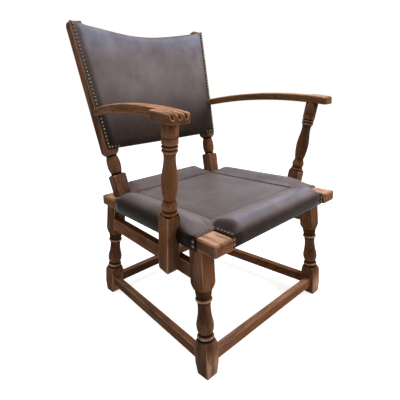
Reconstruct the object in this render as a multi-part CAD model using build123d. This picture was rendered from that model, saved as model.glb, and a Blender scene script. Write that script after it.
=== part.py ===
from build123d import *
import os
from math import cos, radians, sin, sqrt, tan

os.makedirs("parts", exist_ok=True)

# Low oak armchair, leather seat and back. It faces -Y, up is +Z, left is -X. Millimetres and degrees.

# Seat frame: two long side rails with bare ends, and two cross rails let in between them
seat_height = 358.0
seat_tilt = 1.2
seat_front_half = 272.0
seat_depth = 519.0
side_angle = 4.1
side_rail_width = 60.0
side_rail_thickness = 30.0
cross_rail_width = 46.0
cross_rail_thickness = 28.0
cross_rail_setback = 11.0
rail_tenon_length = 12.0
rail_tenon_thickness = 12.0
rail_tenon_shoulder = 7.0

# Legs: their heads meet the underside of the side rails
leg_square = 42.0
leg_splay = 1.1
front_leg_rake = 4.25
rear_leg_rake = 6.7
front_leg_inset = 22.5
rear_leg_inset = 36.0
front_leg_setback = 71.0
rear_leg_setback = 23.0
foot_block_height = 66.0
foot_taper_height = 32.0
foot_taper_share = 0.83
leg_head_height = 77.0
leg_tenon_diameter = 20.0
leg_tenon_length = 18.0

# Box stretcher low down, and one lower rail on each side
stretcher_top = 55.0
stretcher_height = 29.0
stretcher_thickness = 19.0
stretcher_tenon_thickness = 8.0
stretcher_tenon_height = 19.0
stretcher_tenon_length = 14.0
lower_rail_drop = 45.0
lower_rail_height = 38.0
lower_rail_thickness = 22.0
lower_rail_tenon_thickness = 10.0
lower_rail_tenon_height = 26.0
lower_rail_tenon_length = 15.0

# Posts that carry the arms: their square lower blocks are housed over both side rails
arm_post_square = 38.0
arm_post_splay = 4.9
arm_post_rake = 8.6
arm_post_station = 147.0
arm_post_housing = 5.0
arm_post_hang = 83.0
arm_post_block_length = 152.0
arm_post_foot_chamfer = 4.0
arm_post_sink = 3.0
arm_tenon_diameter = 20.0
arm_tenon_length = 14.0
dowel_diameter = 10.0
dowel_length = 30.0

# Arms: arched in height and bowed in plan, with a broad hand at the front
arm_rear_height = 597.0
arm_front_height = 618.0
arm_rear_thickness = 22.0
arm_front_thickness = 25.0
arm_arch = 18.0
arm_rear_width = 28.0
arm_rear_offset = 10.5
arm_neck_width = 37.0
arm_bow = 7.5
hand_inner = 17.0
hand_outer = 44.0
hand_front = 55.0
hand_slant = 6.0
hand_back = 22.0
hand_corner_radius = 14.0
hand_step_radius = 12.0
hand_nose_radius = 15.0
hand_nose_overlap = 1.0
flute_radius = 5.0
flute_depth = 2.5
flute_pitch = 17.0
flute_count = 3
arm_stub_side = 12.0
arm_stub_length = 22.0

# Back posts: block, turned vase, then a square stile that thins towards its top
back_post_square = 40.0
back_post_length = 540.0
back_post_rake = 15.1
back_post_flare = 5.75
back_post_inset = 40.0
back_post_setback = 63.0
back_block_height = 66.0
stile_start = 148.0
stile_taper_start = 170.0
stile_top_depth = 29.0
stile_chamfer = 8.0
back_post_tenon_side = 20.0
back_post_tenon_length = 20.0

# Curved rails of the back, hollowed towards the sitter
back_rail_thickness = 20.0
back_hollow = 18.0
back_hollow_margin = 8.7
bottom_rail_start = 157.0
bottom_rail_height = 42.0
top_rail_height = 66.0
top_rail_margin = 8.0
back_dip = 28.0
back_tenon_length = 16.0
back_tenon_thickness = 9.0
back_tenon_shoulder = 9.0

# Leather and stuffing
leather = 3.0
soft_gap = 0.3
back_leather_start = 149.0
back_leather_end = 537.0
back_leather_inset = 1.0
rear_leather_margin = 8.0
webbing_width = 50.0
webbing_thickness = 2.0
webbing_count = 5
webbing_lap = 15.0
webbing_side_spacing = 66.0
webbing_front_spacing = 62.0
panel_front_margin = 85.0
panel_front_setback = 97.0
panel_rear_setback = 88.0
panel_dish = 5.0
seam_height = 11.0
side_roll_width = 77.0
side_crest = 26.0
side_crest_setback = 35.0
side_bulge = 8.5
front_crest = 24.0
front_crest_setback = 26.0
front_bulge = 7.5
rear_crest = 30.0
rear_crest_setback = 14.0
rear_bulge = 12.0
bulge_drop = 5.0
roll_lap = 8.0
notch_width = 63.0
notch_length = 63.0
notch_lip = 12.0
notch_slope = 30.0
post_clearance = 1.2
arm_clearance = 2.0

# Brass nails
nail_diameter = 9.5
nail_rise = 3.0
nail_crown_share = 0.55
nail_facets = 8
nail_pitch = 10.9
nail_inset = 6.5
back_nail_count = 35
bottom_nail_count = 3
corner_side_count = 6
corner_front_count = 5

# Fits
fit = 0.15
end_gap = 1.0
overrun = 20.0

# Turned outlines, from the lower end up: height and radius as shares of the turned length and of half
# the square, then the swell of the stretch that ends there. 1.45 lies outside the square's corners.
leg_turning_shares = (
    (0.0, 1.45, 0.0),
    (0.152, 0.98, 0.14),
    (0.163, 0.90, 0.0),
    (0.168, 0.92, 0.0),
    (0.217, 0.90, 0.10),
    (0.225, 0.82, 0.0),
    (0.250, 0.84, -0.03),
    (0.410, 0.955, 0.12),
    (0.538, 0.775, -0.02),
    (0.674, 0.80, -0.035),
    (0.685, 0.86, 0.0),
    (0.690, 0.90, 0.0),
    (0.734, 0.90, 0.09),
    (0.745, 0.86, 0.0),
    (0.750, 0.87, 0.0),
    (0.840, 1.0, 0.0),
    (0.846, 0.96, 0.0),
    (0.852, 1.04, 0.0),
    (1.0, 1.45, 0.12),
)
arm_post_turning_shares = (
    (0.0, 1.45, 0.0),
    (0.030, 1.02, 0.05),
    (0.034, 0.97, 0.0),
    (0.040, 1.03, 0.0),
    (0.068, 0.90, 0.03),
    (0.074, 0.86, 0.0),
    (0.086, 0.90, 0.0),
    (0.150, 0.90, 0.10),
    (0.158, 0.86, 0.0),
    (0.164, 0.86, 0.0),
    (0.190, 0.745, -0.02),
    (0.203, 0.77, -0.02),
    (0.503, 0.89, 0.19),
    (0.621, 0.725, -0.03),
    (0.679, 0.85, -0.05),
    (0.686, 0.92, 0.0),
    (0.706, 0.92, 0.08),
    (0.714, 0.88, 0.0),
    (0.723, 0.92, 0.0),
    (0.748, 0.92, 0.10),
    (0.757, 0.90, 0.0),
    (0.769, 1.0, 0.0),
    (0.823, 1.0, 0.0),
    (0.832, 0.95, 0.0),
    (0.842, 1.0, 0.0),
    (1.0, 1.0, 0.0),
)
back_post_turning_shares = (
    (0.0, 1.45, 0.0),
    (0.060, 0.90, 0.06),
    (0.090, 0.78, 0.0),
    (0.400, 1.03, 0.06),
    (0.760, 0.82, 0.07),
    (0.785, 0.78, 0.0),
    (1.0, 1.45, 0.12),
)

seat_plane = Plane(
    origin=(0, 0, seat_height),
    x_dir=(1, 0, 0),
    z_dir=(0, sin(radians(seat_tilt)), cos(radians(seat_tilt))),
)
under_plane = seat_plane.offset(-side_rail_thickness)
reach = 3 * seat_depth


# Half the width of the seat frame, outside and inside, at a distance behind its front edge.
def outer_half(station):
    return seat_front_half - station * tan(radians(side_angle))


def inner_half(station):
    return outer_half(station) - side_rail_width


# A point on the left half of the seat frame, under its top, in the room's directions.
def seat_point(half, station, drop):
    return seat_plane.from_local_coords(Vector(-half, station, -drop))


# The plane across a leaning stick: it goes out and forwards as it rises, and its normal runs up it.
# Its square stands square to the room, or is turned to lie along the side rail.
def stick_plane(start, outward, forward, turn=0):
    up = Vector(-tan(radians(outward)), -tan(radians(forward)), 1).normalized()
    along = Vector(sin(radians(turn)), cos(radians(turn)), 0)
    return Plane(origin=start, x_dir=along.cross(up), z_dir=up)


# Where a stick's axis is at a height above the floor.
def axis_at(plane, height):
    return plane.origin + plane.z_dir * ((height - plane.origin.Z) / plane.z_dir.Z)


def across(point):
    return Vector(-point.X, point.Y, point.Z)


def beyond(plane):
    return plane * Box(reach, reach, reach, align=(Align.CENTER, Align.CENTER, Align.MIN))


def square_blank(square, length):
    return Box(square, square, length, align=(Align.CENTER, Align.CENTER, Align.MIN))


def rod(diameter, length):
    return Cylinder(diameter / 2, length, align=(Align.CENTER, Align.CENTER, Align.MIN))


# A bar along a line: its width is level, and it stops short of both ends.
def bar(start, end, wide, high, short):
    run = (end - start).normalized()
    plane = Plane(origin=start + run * short, x_dir=run.cross(Vector(0, 0, 1)), z_dir=run)
    size = (end - start).length - 2 * short
    return plane * Box(wide, high, size, align=(Align.CENTER, Align.CENTER, Align.MIN))


# A stick turned from its square between two heights. Its blocks' corners end in rounded tongues.
def turned_stick(square, rows, start, length, blank):
    points = [Vector(row[1] * square / 2, start + row[0] * length) for row in rows]
    edges = []
    for low, high, row in zip(points, points[1:], rows[1:]):
        if row[2]:
            run = (high - low).normalized()
            middle = (low + high) / 2 + Vector(run.Y, -run.X) * (row[2] * square / 2)
            edges.append(ThreePointArc(low, middle, high))
        else:
            edges.append(Line(low, high))
    foot = Vector(points[0].X, -overrun)
    ring = [Line((0, -overrun), foot), Line(foot, points[0])] + edges
    top = points[-1].Y
    if rows[-1][1] > 1:
        top += reach
        ring.append(Line(points[-1], (points[-1].X, top)))
    ring += [Line((points[-1].X, top), (0, top)), Line((0, top), (0, -overrun))]
    return blank & revolve(Plane.XZ * make_face(ring), Axis.Z)


# Legs
def leg_place(inset, setback, rake):
    top = seat_point(outer_half(setback) - inset, setback, side_rail_thickness)
    plane = stick_plane(top, -leg_splay, -rake)
    return Plane(origin=axis_at(plane, 0), x_dir=plane.x_dir, z_dir=plane.z_dir), top


front_leg_at, front_leg_top = leg_place(front_leg_inset, front_leg_setback, front_leg_rake)
rear_leg_at, rear_leg_top = leg_place(rear_leg_inset, seat_depth - rear_leg_setback, -rear_leg_rake)


def leg_blank(plane, grow):
    return plane * Pos(0, 0, -overrun) * square_blank(leg_square + 2 * grow, seat_height + overrun)


def leg_tenon(plane, top, grow):
    length = leg_tenon_length + (end_gap if grow else 0)
    seat = Plane(origin=top - plane.z_dir * leg_tenon_length, x_dir=plane.x_dir, z_dir=plane.z_dir)
    return seat * rod(leg_tenon_diameter + 2 * grow, leg_tenon_length + length)


def make_leg(plane, top):
    length = (top - plane.origin).length
    turned = length - foot_block_height - leg_head_height
    spread = (1 - foot_taper_share) * leg_square * (foot_taper_height + overrun) / foot_taper_height
    toe = Pos(0, 0, -overrun) * Rectangle(leg_square - spread, leg_square - spread)
    ankle = Pos(0, 0, foot_taper_height) * Rectangle(leg_square, leg_square)
    blank = loft([toe.face(), ankle.face()])
    blank += Pos(0, 0, foot_taper_height) * square_blank(leg_square, length)
    stick = turned_stick(leg_square, leg_turning_shares, foot_block_height, turned, blank)
    return (plane * stick) - beyond(under_plane) - beyond(-Plane.XY)


# Stretchers run between the axes of the legs
stretcher_middle = stretcher_top - stretcher_height / 2
front_left_low = axis_at(front_leg_at, stretcher_middle)
rear_left_low = axis_at(rear_leg_at, stretcher_middle)


def stretcher_tenon(start, end, grow):
    short = leg_square / 2 - stretcher_tenon_length - (end_gap if grow else 0)
    wide = stretcher_tenon_thickness + 2 * grow
    return bar(start, end, wide, stretcher_tenon_height + 2 * grow, short)


def make_stretcher(start, end, blanks):
    body = bar(start, end, stretcher_thickness, stretcher_height, 0)
    for blank in blanks:
        body -= blank
    return body + stretcher_tenon(start, end, 0)


# Posts of the arms, placed by their inner face, which is housed over the seat rail's outer face
arm_post_middle = seat_point(outer_half(arm_post_station), arm_post_station, side_rail_thickness / 2)
arm_post_standoff = arm_post_square / 2 - arm_post_housing
side_out = Vector(-cos(radians(side_angle)), sin(radians(side_angle)), 0)
arm_post_middle += side_out * arm_post_standoff
arm_post_axis = stick_plane(arm_post_middle, arm_post_splay, arm_post_rake, side_angle)
arm_post_foot = axis_at(arm_post_axis, arm_post_middle.Z - side_rail_thickness / 2 - arm_post_hang)
arm_post_at = Plane(origin=arm_post_foot, x_dir=arm_post_axis.x_dir, z_dir=arm_post_axis.z_dir)

# Back posts stand on the side rails. Their front faces lie in one plane, square to the rake.
back_normal = Vector(0, cos(radians(back_post_rake)), -sin(radians(back_post_rake)))
back_up = Vector(0, sin(radians(back_post_rake)), cos(radians(back_post_rake)))
back_station = seat_depth - back_post_setback
back_post_start = seat_point(outer_half(back_station) - back_post_inset, back_station, 0)
back_axis = stick_plane(back_post_start, back_post_flare, -back_post_rake).z_dir
back_post_at = Plane(origin=back_post_start, x_dir=back_normal.cross(back_axis), z_dir=back_axis)
stile_face = back_post_start - back_normal * (back_post_square / 2)
back_origin = Vector(0, stile_face.Y, stile_face.Z)
back_section = Plane(origin=back_origin, x_dir=(1, 0, 0), z_dir=back_up)
back_face = Plane(origin=back_origin, x_dir=(1, 0, 0), z_dir=-back_normal)
flare_slope = back_axis.X / back_axis.dot(back_up)


# How far across a line along the left stile is, at a height up the back.
def stile_line(offset, height):
    lean = back_post_at.x_dir
    return back_post_start.X + offset * lean.X + (height - offset * lean.dot(back_up)) * flare_slope


back_hollow_half = -stile_line(back_post_square / 2, back_leather_start) - back_hollow_margin


# A curved sheet of the back between two depths, two heights and two lines along the stiles.
def back_sheet(near, far, low, high, offset, dip):
    half = back_hollow_half
    wide = seat_front_half + overrun
    section = make_face(
        [
            Line((-wide, near), (-half, near)),
            ThreePointArc((-half, near), (0, near + back_hollow), (half, near)),
            Line((half, near), (wide, near)),
            Line((wide, near), (wide, far)),
            Line((wide, far), (half, far)),
            ThreePointArc((half, far), (0, far + back_hollow), (-half, far)),
            Line((-half, far), (-wide, far)),
            Line((-wide, far), (-wide, near)),
        ]
    )
    low_left = Vector(stile_line(offset, low), low)
    high_left = Vector(stile_line(offset, high), high)
    low_right = Vector(-low_left.X, low)
    high_right = Vector(-high_left.X, high)
    ring = [Line(high_left, low_left), Line(low_left, low_right), Line(low_right, high_right)]
    if dip:
        ring.append(ThreePointArc(high_right, Vector(0, high - dip), high_left))
    else:
        ring.append(Line(high_right, high_left))
    outline = extrude(make_face(ring), amount=reach / 2, both=True)
    return (back_section * extrude(section, amount=reach)) & (back_face * outline)


bottom_rail_end = bottom_rail_start + bottom_rail_height
top_rail_end = back_leather_end - top_rail_margin
top_rail_start = top_rail_end - top_rail_height
tenon_near = (back_rail_thickness - back_tenon_thickness) / 2
tenon_far = tenon_near + back_tenon_thickness


# The tenons at both ends of a back rail
def back_tenons(low, high, grow):
    offset = back_post_square / 2 - back_tenon_length - (end_gap if grow else 0)
    near, far = tenon_near - grow, tenon_far + grow
    inner_low = low + back_tenon_shoulder - grow
    tongue = back_sheet(near, far, inner_low, high - back_tenon_shoulder + grow, offset, 0)
    inside = -stile_line(back_post_square / 2, low) - back_tenon_length
    return tongue - back_face * Box(2 * inside, reach, reach)


def make_back_rail(low, high, dip):
    body = back_sheet(0, back_rail_thickness, low, high, back_post_square / 2, dip)
    return body + back_tenons(low, high, 0)


def back_post_tenon(grow):
    length = back_post_tenon_length + (end_gap if grow else 0)
    side = back_post_tenon_side + 2 * grow
    return back_post_at * Pos(0, 0, -length) * square_blank(side, length + back_post_tenon_length)


def make_back_post():
    half = back_post_square / 2
    rear = stile_top_depth - half
    outline = make_face(
        Polyline(
            (-half, -overrun),
            (half, -overrun),
            (half, stile_taper_start),
            (rear, back_post_length - stile_chamfer),
            (rear - stile_chamfer, back_post_length),
            (-half, back_post_length),
            close=True,
        )
    )
    blank = extrude(Plane.YZ * outline, amount=half, both=True)
    turned = stile_start - back_block_height
    rows = back_post_turning_shares
    stick = turned_stick(back_post_square, rows, back_block_height, turned, blank)
    return (back_post_at * stick) - beyond(-seat_plane)


# Arms
arm_chord = (arm_front_height + arm_rear_height) / 2
stile_at_arm = axis_at(back_post_at, arm_rear_height + arm_rear_thickness / 2)
arm_rear_y = stile_at_arm.Y - back_post_square / 2 / cos(radians(back_post_rake))
arm_rear_x = stile_at_arm.X - arm_rear_offset


# The arm's underside at a distance back, which sets how long the arm posts are.
def arm_under(station, front):
    middle = (front + arm_rear_y) / 2
    half = middle - front
    share = (station - middle) / half
    chord = arm_chord + (arm_rear_height - arm_front_height) / 2 * share
    return chord + arm_arch * (1 - share * share)


arm_post_reach = axis_at(arm_post_at, arm_front_height)
arm_front_y = arm_post_reach.Y - hand_front
arm_post_top = axis_at(arm_post_at, arm_under(arm_post_reach.Y, arm_front_y) + arm_post_sink)
arm_post_length = (arm_post_top - arm_post_foot).length


def round_corner(start, corner, end):
    centre = start + end - corner
    return ThreePointArc(start, centre + (corner - centre) * sqrt(0.5), end)


def arm_side():
    front, rear = arm_front_y - hand_nose_overlap, arm_rear_y + overrun
    middle = (front + rear) / 2
    low_front = Vector(front, arm_under(front, arm_front_y))
    low_rear = Vector(rear, arm_under(rear, arm_front_y))
    low_middle = Vector(middle, arm_under(middle, arm_front_y))
    high_front = low_front + Vector(0, arm_front_thickness)
    high_rear = low_rear + Vector(0, arm_rear_thickness)
    high_middle = low_middle + Vector(0, (arm_front_thickness + arm_rear_thickness) / 2)
    nose = Vector(front, high_front.Y - hand_nose_radius)
    brow = Vector(front + hand_nose_radius, high_front.Y)
    ring = [
        ThreePointArc(low_front, low_middle, low_rear),
        Line(low_rear, high_rear),
        ThreePointArc(high_rear, high_middle, brow),
        round_corner(brow, high_front, nose),
        Line(nose, low_front),
    ]
    return extrude(Plane.YZ * make_face(ring), amount=reach, both=True)


def arm_plan():
    inner = arm_post_top.X + hand_inner
    outer = arm_post_top.X - hand_outer
    front, rear, step = arm_front_y, arm_rear_y + overrun, arm_post_top.Y + hand_back
    corner, round_step = hand_corner_radius, hand_step_radius
    rear_inner = Vector(arm_rear_x + arm_rear_width / 2, rear)
    rear_outer = Vector(arm_rear_x - arm_rear_width / 2, rear)
    neck = Vector(inner + (rear_inner.X - inner) * (step - front) / (rear - front) - arm_neck_width, step)
    neck -= Vector(arm_bow / 2, 0)
    bow = Vector(arm_bow, 0)
    front_inner = Vector(inner, front)
    front_outer = Vector(outer, front + hand_slant)
    square_off = (front_outer - front_inner).normalized() * corner
    step_outer = Vector(outer, step)
    inner_start = front_inner + Vector(0, corner)
    step_start = step_outer - Vector(0, round_step)
    step_end = step_outer + Vector(round_step, 0)
    ring = [
        ThreePointArc(rear_inner, (rear_inner + inner_start) / 2 - bow, inner_start),
        round_corner(inner_start, front_inner, front_inner + square_off),
        Line(front_inner + square_off, front_outer - square_off),
        round_corner(front_outer - square_off, front_outer, front_outer + Vector(0, corner)),
        Line(front_outer + Vector(0, corner), step_start),
        round_corner(step_start, step_outer, step_end),
        Line(step_end, neck),
        ThreePointArc(neck, (neck + rear_outer) / 2 - bow, rear_outer),
        Line(rear_outer, rear_inner),
    ]
    return extrude(make_face(ring), amount=reach)


# Grooves carved over the rounded front edge of the hand
def arm_flutes():
    middle = arm_post_top.X + (hand_inner - hand_outer) / 2
    top = arm_front_height + arm_front_thickness
    centre = Vector(0, arm_front_y + hand_nose_radius, top - hand_nose_radius)
    away = Vector(0, -sqrt(0.5), sqrt(0.5))
    start = centre + away * (hand_nose_radius - flute_depth + flute_radius)
    tool = Cylinder(flute_radius, 2 * hand_nose_radius)
    tools = []
    for index in range(flute_count):
        shift = (index - (flute_count - 1) / 2) * flute_pitch
        slant = hand_slant * (1 / 2 - shift / (hand_inner + hand_outer))
        place = Plane(origin=start + Vector(middle + shift, slant, 0), z_dir=(0, 1, 1))
        tools.append(place * tool)
    return tools


def arm_stub(grow):
    length = arm_stub_length + (end_gap if grow else 0)
    side = arm_stub_side + 2 * grow
    middle = arm_rear_height + arm_rear_thickness / 2
    spot = Vector((stile_at_arm.X + arm_rear_x) / 2, arm_rear_y, middle)
    place = Plane(origin=spot - back_normal * arm_stub_side, x_dir=(1, 0, 0), z_dir=back_normal)
    return place * square_blank(side, arm_stub_side + length)


def arm_pin(grow):
    length = arm_tenon_length + (end_gap if grow else 0)
    return arm_post_at * Pos(0, 0, arm_post_length) * rod(arm_tenon_diameter + 2 * grow, length)


def make_arm():
    body = arm_side() & arm_plan()
    body -= beyond(Plane(origin=back_origin, z_dir=back_normal))
    for tool in arm_flutes():
        body -= tool
    body += arm_stub(0)
    seat = rod(arm_post_square + 2 * fit, arm_post_square)
    body -= arm_post_at * Pos(0, 0, arm_post_length - arm_post_square) * seat
    return body - arm_pin(fit)


# Lower side rails lie parallel to the legs' line, out far enough for the arm posts to be housed over them
def lower_rail_end(plane, station):
    drop = side_rail_thickness + lower_rail_drop + lower_rail_height / 2
    return axis_at(plane, seat_point(0, station, drop).Z)


lower_front = lower_rail_end(front_leg_at, front_leg_setback)
lower_rear = lower_rail_end(rear_leg_at, seat_depth - rear_leg_setback)
lower_run = lower_rear - lower_front
post_at_rail = axis_at(arm_post_at, lower_front.Z + lower_run.Z * arm_post_station / seat_depth)
rail_face_x = post_at_rail.X + arm_post_standoff / cos(radians(side_angle))
leg_line_x = lower_front.X + lower_run.X * (post_at_rail.Y - lower_front.Y) / lower_run.Y
lower_shift = Vector(rail_face_x + lower_rail_thickness / 2 - leg_line_x, 0, 0)
lower_front += lower_shift
lower_rear += lower_shift


def lower_rail_tenon(grow):
    short = leg_square / 2 - lower_rail_tenon_length - (end_gap if grow else 0)
    wide = lower_rail_tenon_thickness + 2 * grow
    return bar(lower_front, lower_rear, wide, lower_rail_tenon_height + 2 * grow, short)


def make_lower_rail():
    body = bar(lower_front, lower_rear, lower_rail_thickness, lower_rail_height, 0)
    body -= leg_blank(front_leg_at, 0)
    body -= leg_blank(rear_leg_at, 0)
    return body + lower_rail_tenon(0)


# Hidden dowels from each arm post into the two side rails
dowel_spots = (
    seat_point(outer_half(arm_post_station), arm_post_station, side_rail_thickness / 2),
    Vector(rail_face_x, post_at_rail.Y, post_at_rail.Z),
)


def dowels(grow):
    length = dowel_length + (2 * end_gap if grow else 0)
    shape = Cylinder(dowel_diameter / 2 + grow, length)
    return [Plane(origin=spot, z_dir=(1, 0, 0)) * shape for spot in dowel_spots]


# Seat frame pieces, drawn in plan on the seat plane
def plan_block(points, low, high):
    face = make_face(Polyline(*points, close=True))
    return seat_plane * (Pos(0, 0, low) * extrude(face, amount=high - low))


def side_rail_blank():
    plan = (
        (-outer_half(0), 0),
        (-inner_half(0), 0),
        (-inner_half(seat_depth), seat_depth),
        (-outer_half(seat_depth), seat_depth),
    )
    return plan_block(plan, -side_rail_thickness, 0)


def cross_span(near, far, side_grow, low, high):
    plan = (
        (-inner_half(near) - side_grow, near),
        (inner_half(near) + side_grow, near),
        (inner_half(far) + side_grow, far),
        (-inner_half(far) - side_grow, far),
    )
    return plan_block(plan, low, high)


cross_bottom = -cross_rail_thickness
rear_rail_near = seat_depth - cross_rail_setback - cross_rail_width


def cross_tenons(near, grow):
    middle = cross_bottom / 2
    half = rail_tenon_thickness / 2 + grow
    inset = rail_tenon_shoulder - grow
    side = rail_tenon_length + (end_gap if grow else 0)
    return cross_span(near + inset, near + cross_rail_width - inset, side, middle - half, middle + half)


def make_cross_rail(near):
    body = cross_span(near, near + cross_rail_width, 0, cross_bottom, 0)
    return body + cross_tenons(near, 0)


# Padded leather rolls: a section round the rail, run along it, then cut to the seams in plan
panel_rear_station = seat_depth - panel_rear_setback
panel_front_half = outer_half(panel_front_setback) - panel_front_margin
panel_rear_half = outer_half(panel_rear_station) - side_roll_width
back_notch_station = back_station - back_post_square / 2 - post_clearance
back_notch_half = outer_half(back_station) - back_post_inset - back_post_square / 2 - post_clearance
front_seam = (panel_front_half, panel_front_setback)
rear_seam = (panel_rear_half, panel_rear_station)
front_notch = (seat_front_half - notch_width, notch_length)
rear_notch = (back_notch_half, back_notch_station)


def roll_section(width, crest_setback, crest, bulge, rail_bottom):
    hem = leather + soft_gap
    low = rail_bottom - hem
    seam = (width, seam_height)
    flat = (width + side_rail_width, seam_height)
    skin = Spline(seam, (crest_setback, crest), (-bulge, -bulge_drop), (-hem, low))
    inside = Polyline(
        (-hem, low),
        (roll_lap, low),
        (roll_lap, rail_bottom - soft_gap),
        (-soft_gap, rail_bottom - soft_gap),
        (-soft_gap, soft_gap),
        (flat[0], soft_gap),
        flat,
        seam,
    )
    return make_face([skin, inside])


def roll_along(plane, section, plan):
    body = seat_plane * extrude(plane * section, amount=reach, both=True)
    return body & plan_block(plan, -seat_depth, seat_depth)


def left_of(points):
    return [(-half, station) for half, station in points]


# The two side rails with a little room round them
def side_rail_room():
    plan = left_of(
        (
            (outer_half(0) + overrun, 0),
            (inner_half(0) - soft_gap, 0),
            (inner_half(seat_depth) - soft_gap, seat_depth),
            (outer_half(seat_depth) + overrun, seat_depth),
        )
    )
    left = plan_block(plan, -side_rail_thickness - soft_gap, soft_gap)
    return left, mirror(left, about=Plane.YZ)


# What the leather drops by towards the nails round the bare front corner
def lip_wedge():
    low = leather + soft_gap
    high = rear_crest + overrun
    rise = notch_slope * (high - low) / side_crest
    shape = Polyline((-reach, low), (notch_lip, low), (notch_lip + rise, high), (-reach, high), close=True)
    return extrude(make_face(shape), amount=reach, both=True)


def make_side_roll():
    lean = radians(side_angle)
    plane = Plane(
        origin=(-seat_front_half, 0, 0),
        x_dir=(cos(lean), -sin(lean), 0),
        z_dir=(-sin(lean), -cos(lean), 0),
    )
    width, setback = side_roll_width, side_crest_setback
    section = roll_section(width, setback, side_crest, side_bulge, -side_rail_thickness)
    far = seat_front_half + overrun
    plan = left_of(
        (front_seam, front_notch, (far, notch_length), (far, back_notch_station), rear_notch, rear_seam)
    )
    body = roll_along(plane, section, plan)
    body -= seat_plane * Plane(origin=(0, notch_length, 0), x_dir=(0, 1, 0), z_dir=(1, 0, 0)) * lip_wedge()
    body -= leg_blank(front_leg_at, soft_gap)
    body -= leg_blank(rear_leg_at, soft_gap)
    block = square_blank(arm_post_square + 2 * soft_gap, arm_post_block_length + overrun)
    return body - arm_post_at * block


def make_front_roll():
    width = panel_front_setback - cross_rail_setback
    setback = front_crest_setback - cross_rail_setback
    section = roll_section(width, setback, front_crest, front_bulge, cross_bottom)
    plane = Plane(origin=(0, cross_rail_setback, 0), x_dir=(0, 1, 0), z_dir=(1, 0, 0))
    left = left_of((front_seam, front_notch, (front_notch[0], -overrun)))
    plan = left + [(-x, y) for x, y in reversed(left)]
    body = roll_along(plane, section, plan)
    for side in (-1, 1):
        edge = Plane(origin=(side * front_notch[0], 0, 0), x_dir=(-side, 0, 0), z_dir=(0, side, 0))
        body -= seat_plane * edge * lip_wedge()
    return body


def make_rear_roll():
    face_station = seat_depth - cross_rail_setback
    width = face_station - panel_rear_station
    section = roll_section(width, rear_crest_setback, rear_crest, rear_bulge, cross_bottom)
    plane = Plane(origin=(0, face_station, 0), x_dir=(0, -1, 0), z_dir=(-1, 0, 0))
    left = left_of((rear_seam, rear_notch, (back_notch_half, seat_depth + overrun)))
    plan = left + [(-x, y) for x, y in reversed(left)]
    body = roll_along(plane, section, plan)
    for room in side_rail_room():
        body -= room
    return body


# The sunken middle of the seat, hollowed by a very large sphere
def make_panel():
    left = left_of((front_seam, rear_seam))
    plan = left + [(-x, y) for x, y in reversed(left)]
    radius = (panel_rear_half * panel_rear_half + panel_dish * panel_dish) / (2 * panel_dish)
    station = (panel_front_setback + panel_rear_station) / 2
    hollow = Pos(0, station, seam_height - panel_dish + radius) * Sphere(radius)
    return plan_block(plan, soft_gap, seam_height) - seat_plane * hollow


def make_pad():
    near = cross_rail_setback + cross_rail_width + soft_gap
    far = rear_rail_near - soft_gap
    return cross_span(near, far, -soft_gap, cross_bottom + soft_gap, 0)


# Webbing under the frame: straps across the side rails, and straps along, let in level with them
def webbing_across():
    straps = []
    low = -side_rail_thickness - webbing_thickness
    middle = seat_depth / 2
    for index in range(webbing_count):
        station = middle + (index - (webbing_count - 1) / 2) * webbing_side_spacing
        near, far = station - webbing_width / 2, station + webbing_width / 2
        straps.append(cross_span(near, far, webbing_lap, low, -side_rail_thickness))
    return Compound(straps)


def webbing_along():
    straps = []
    low = cross_bottom - webbing_thickness
    near = cross_rail_setback + cross_rail_width - webbing_lap
    far = rear_rail_near + webbing_lap
    for index in range(webbing_count):
        middle = (index - (webbing_count - 1) / 2) * webbing_front_spacing
        left, right = middle - webbing_width / 2, middle + webbing_width / 2
        straps.append(plan_block(((left, near), (right, near), (right, far), (left, far)), low, cross_bottom))
    return Compound(straps)


# The back's front leather is cut round the rear ends of the arms
leather_front = -leather - soft_gap
arm_end = Vector(arm_rear_x, arm_rear_y, arm_rear_height + arm_rear_thickness / 2)


def arm_end_block(side):
    spot = arm_end if side < 0 else across(arm_end)
    wide = arm_rear_width + 2 * arm_clearance
    return Pos(spot) * Box(wide, arm_rear_width, arm_rear_thickness + 2 * arm_clearance)


def make_back_leather():
    offset = back_leather_inset - back_post_square / 2
    body = back_sheet(leather_front, -soft_gap, back_leather_start, back_leather_end, offset, back_dip)
    return body - arm_end_block(-1) - arm_end_block(1)


# Nails: a low faceted dome, set out in rows
def nail_head():
    base = RegularPolygon(nail_diameter / 2, nail_facets)
    crown = Pos(0, 0, nail_rise) * RegularPolygon(nail_crown_share * nail_diameter / 2, nail_facets)
    return loft([base.face(), crown.face()])


def back_nails():
    nail = nail_head()
    start = back_leather_start + nail_inset
    edge = back_leather_inset - back_post_square / 2 + nail_inset
    room = arm_clearance + nail_diameter / 2
    climb = abs(arm_under(arm_rear_y - nail_diameter, arm_front_y) - arm_under(arm_rear_y, arm_front_y))
    arm_height = (arm_end - back_origin).dot(back_up)
    spots = []
    for index in range(back_nail_count):
        height = start + index * nail_pitch
        spots.append((stile_line(edge, height), height))
    for index in range(bottom_nail_count):
        spots.append((stile_line(edge, start) + (index + 1) * nail_pitch, start))
    heads = []
    for x, height in spots:
        above = abs(height - arm_height) > arm_rear_thickness / 2 + room + climb
        beside = abs(x - arm_end.X) > arm_rear_width / 2 + room
        if above or beside:
            heads.append(back_face * Pos(x, height, -leather_front) * nail)
    return Compound(heads)


def seat_nails():
    nail = nail_head()
    top = leather + soft_gap
    row = notch_length + nail_inset
    spots = []
    for index in range(corner_side_count):
        spots.append((-outer_half(row) + nail_inset + index * nail_pitch, row))
    for index in range(corner_front_count):
        spots.append((-front_notch[0] + nail_inset, notch_length - nail_inset - index * nail_pitch))
    return Compound([seat_plane * Pos(x, station, top) * nail for x, station in spots])


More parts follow.
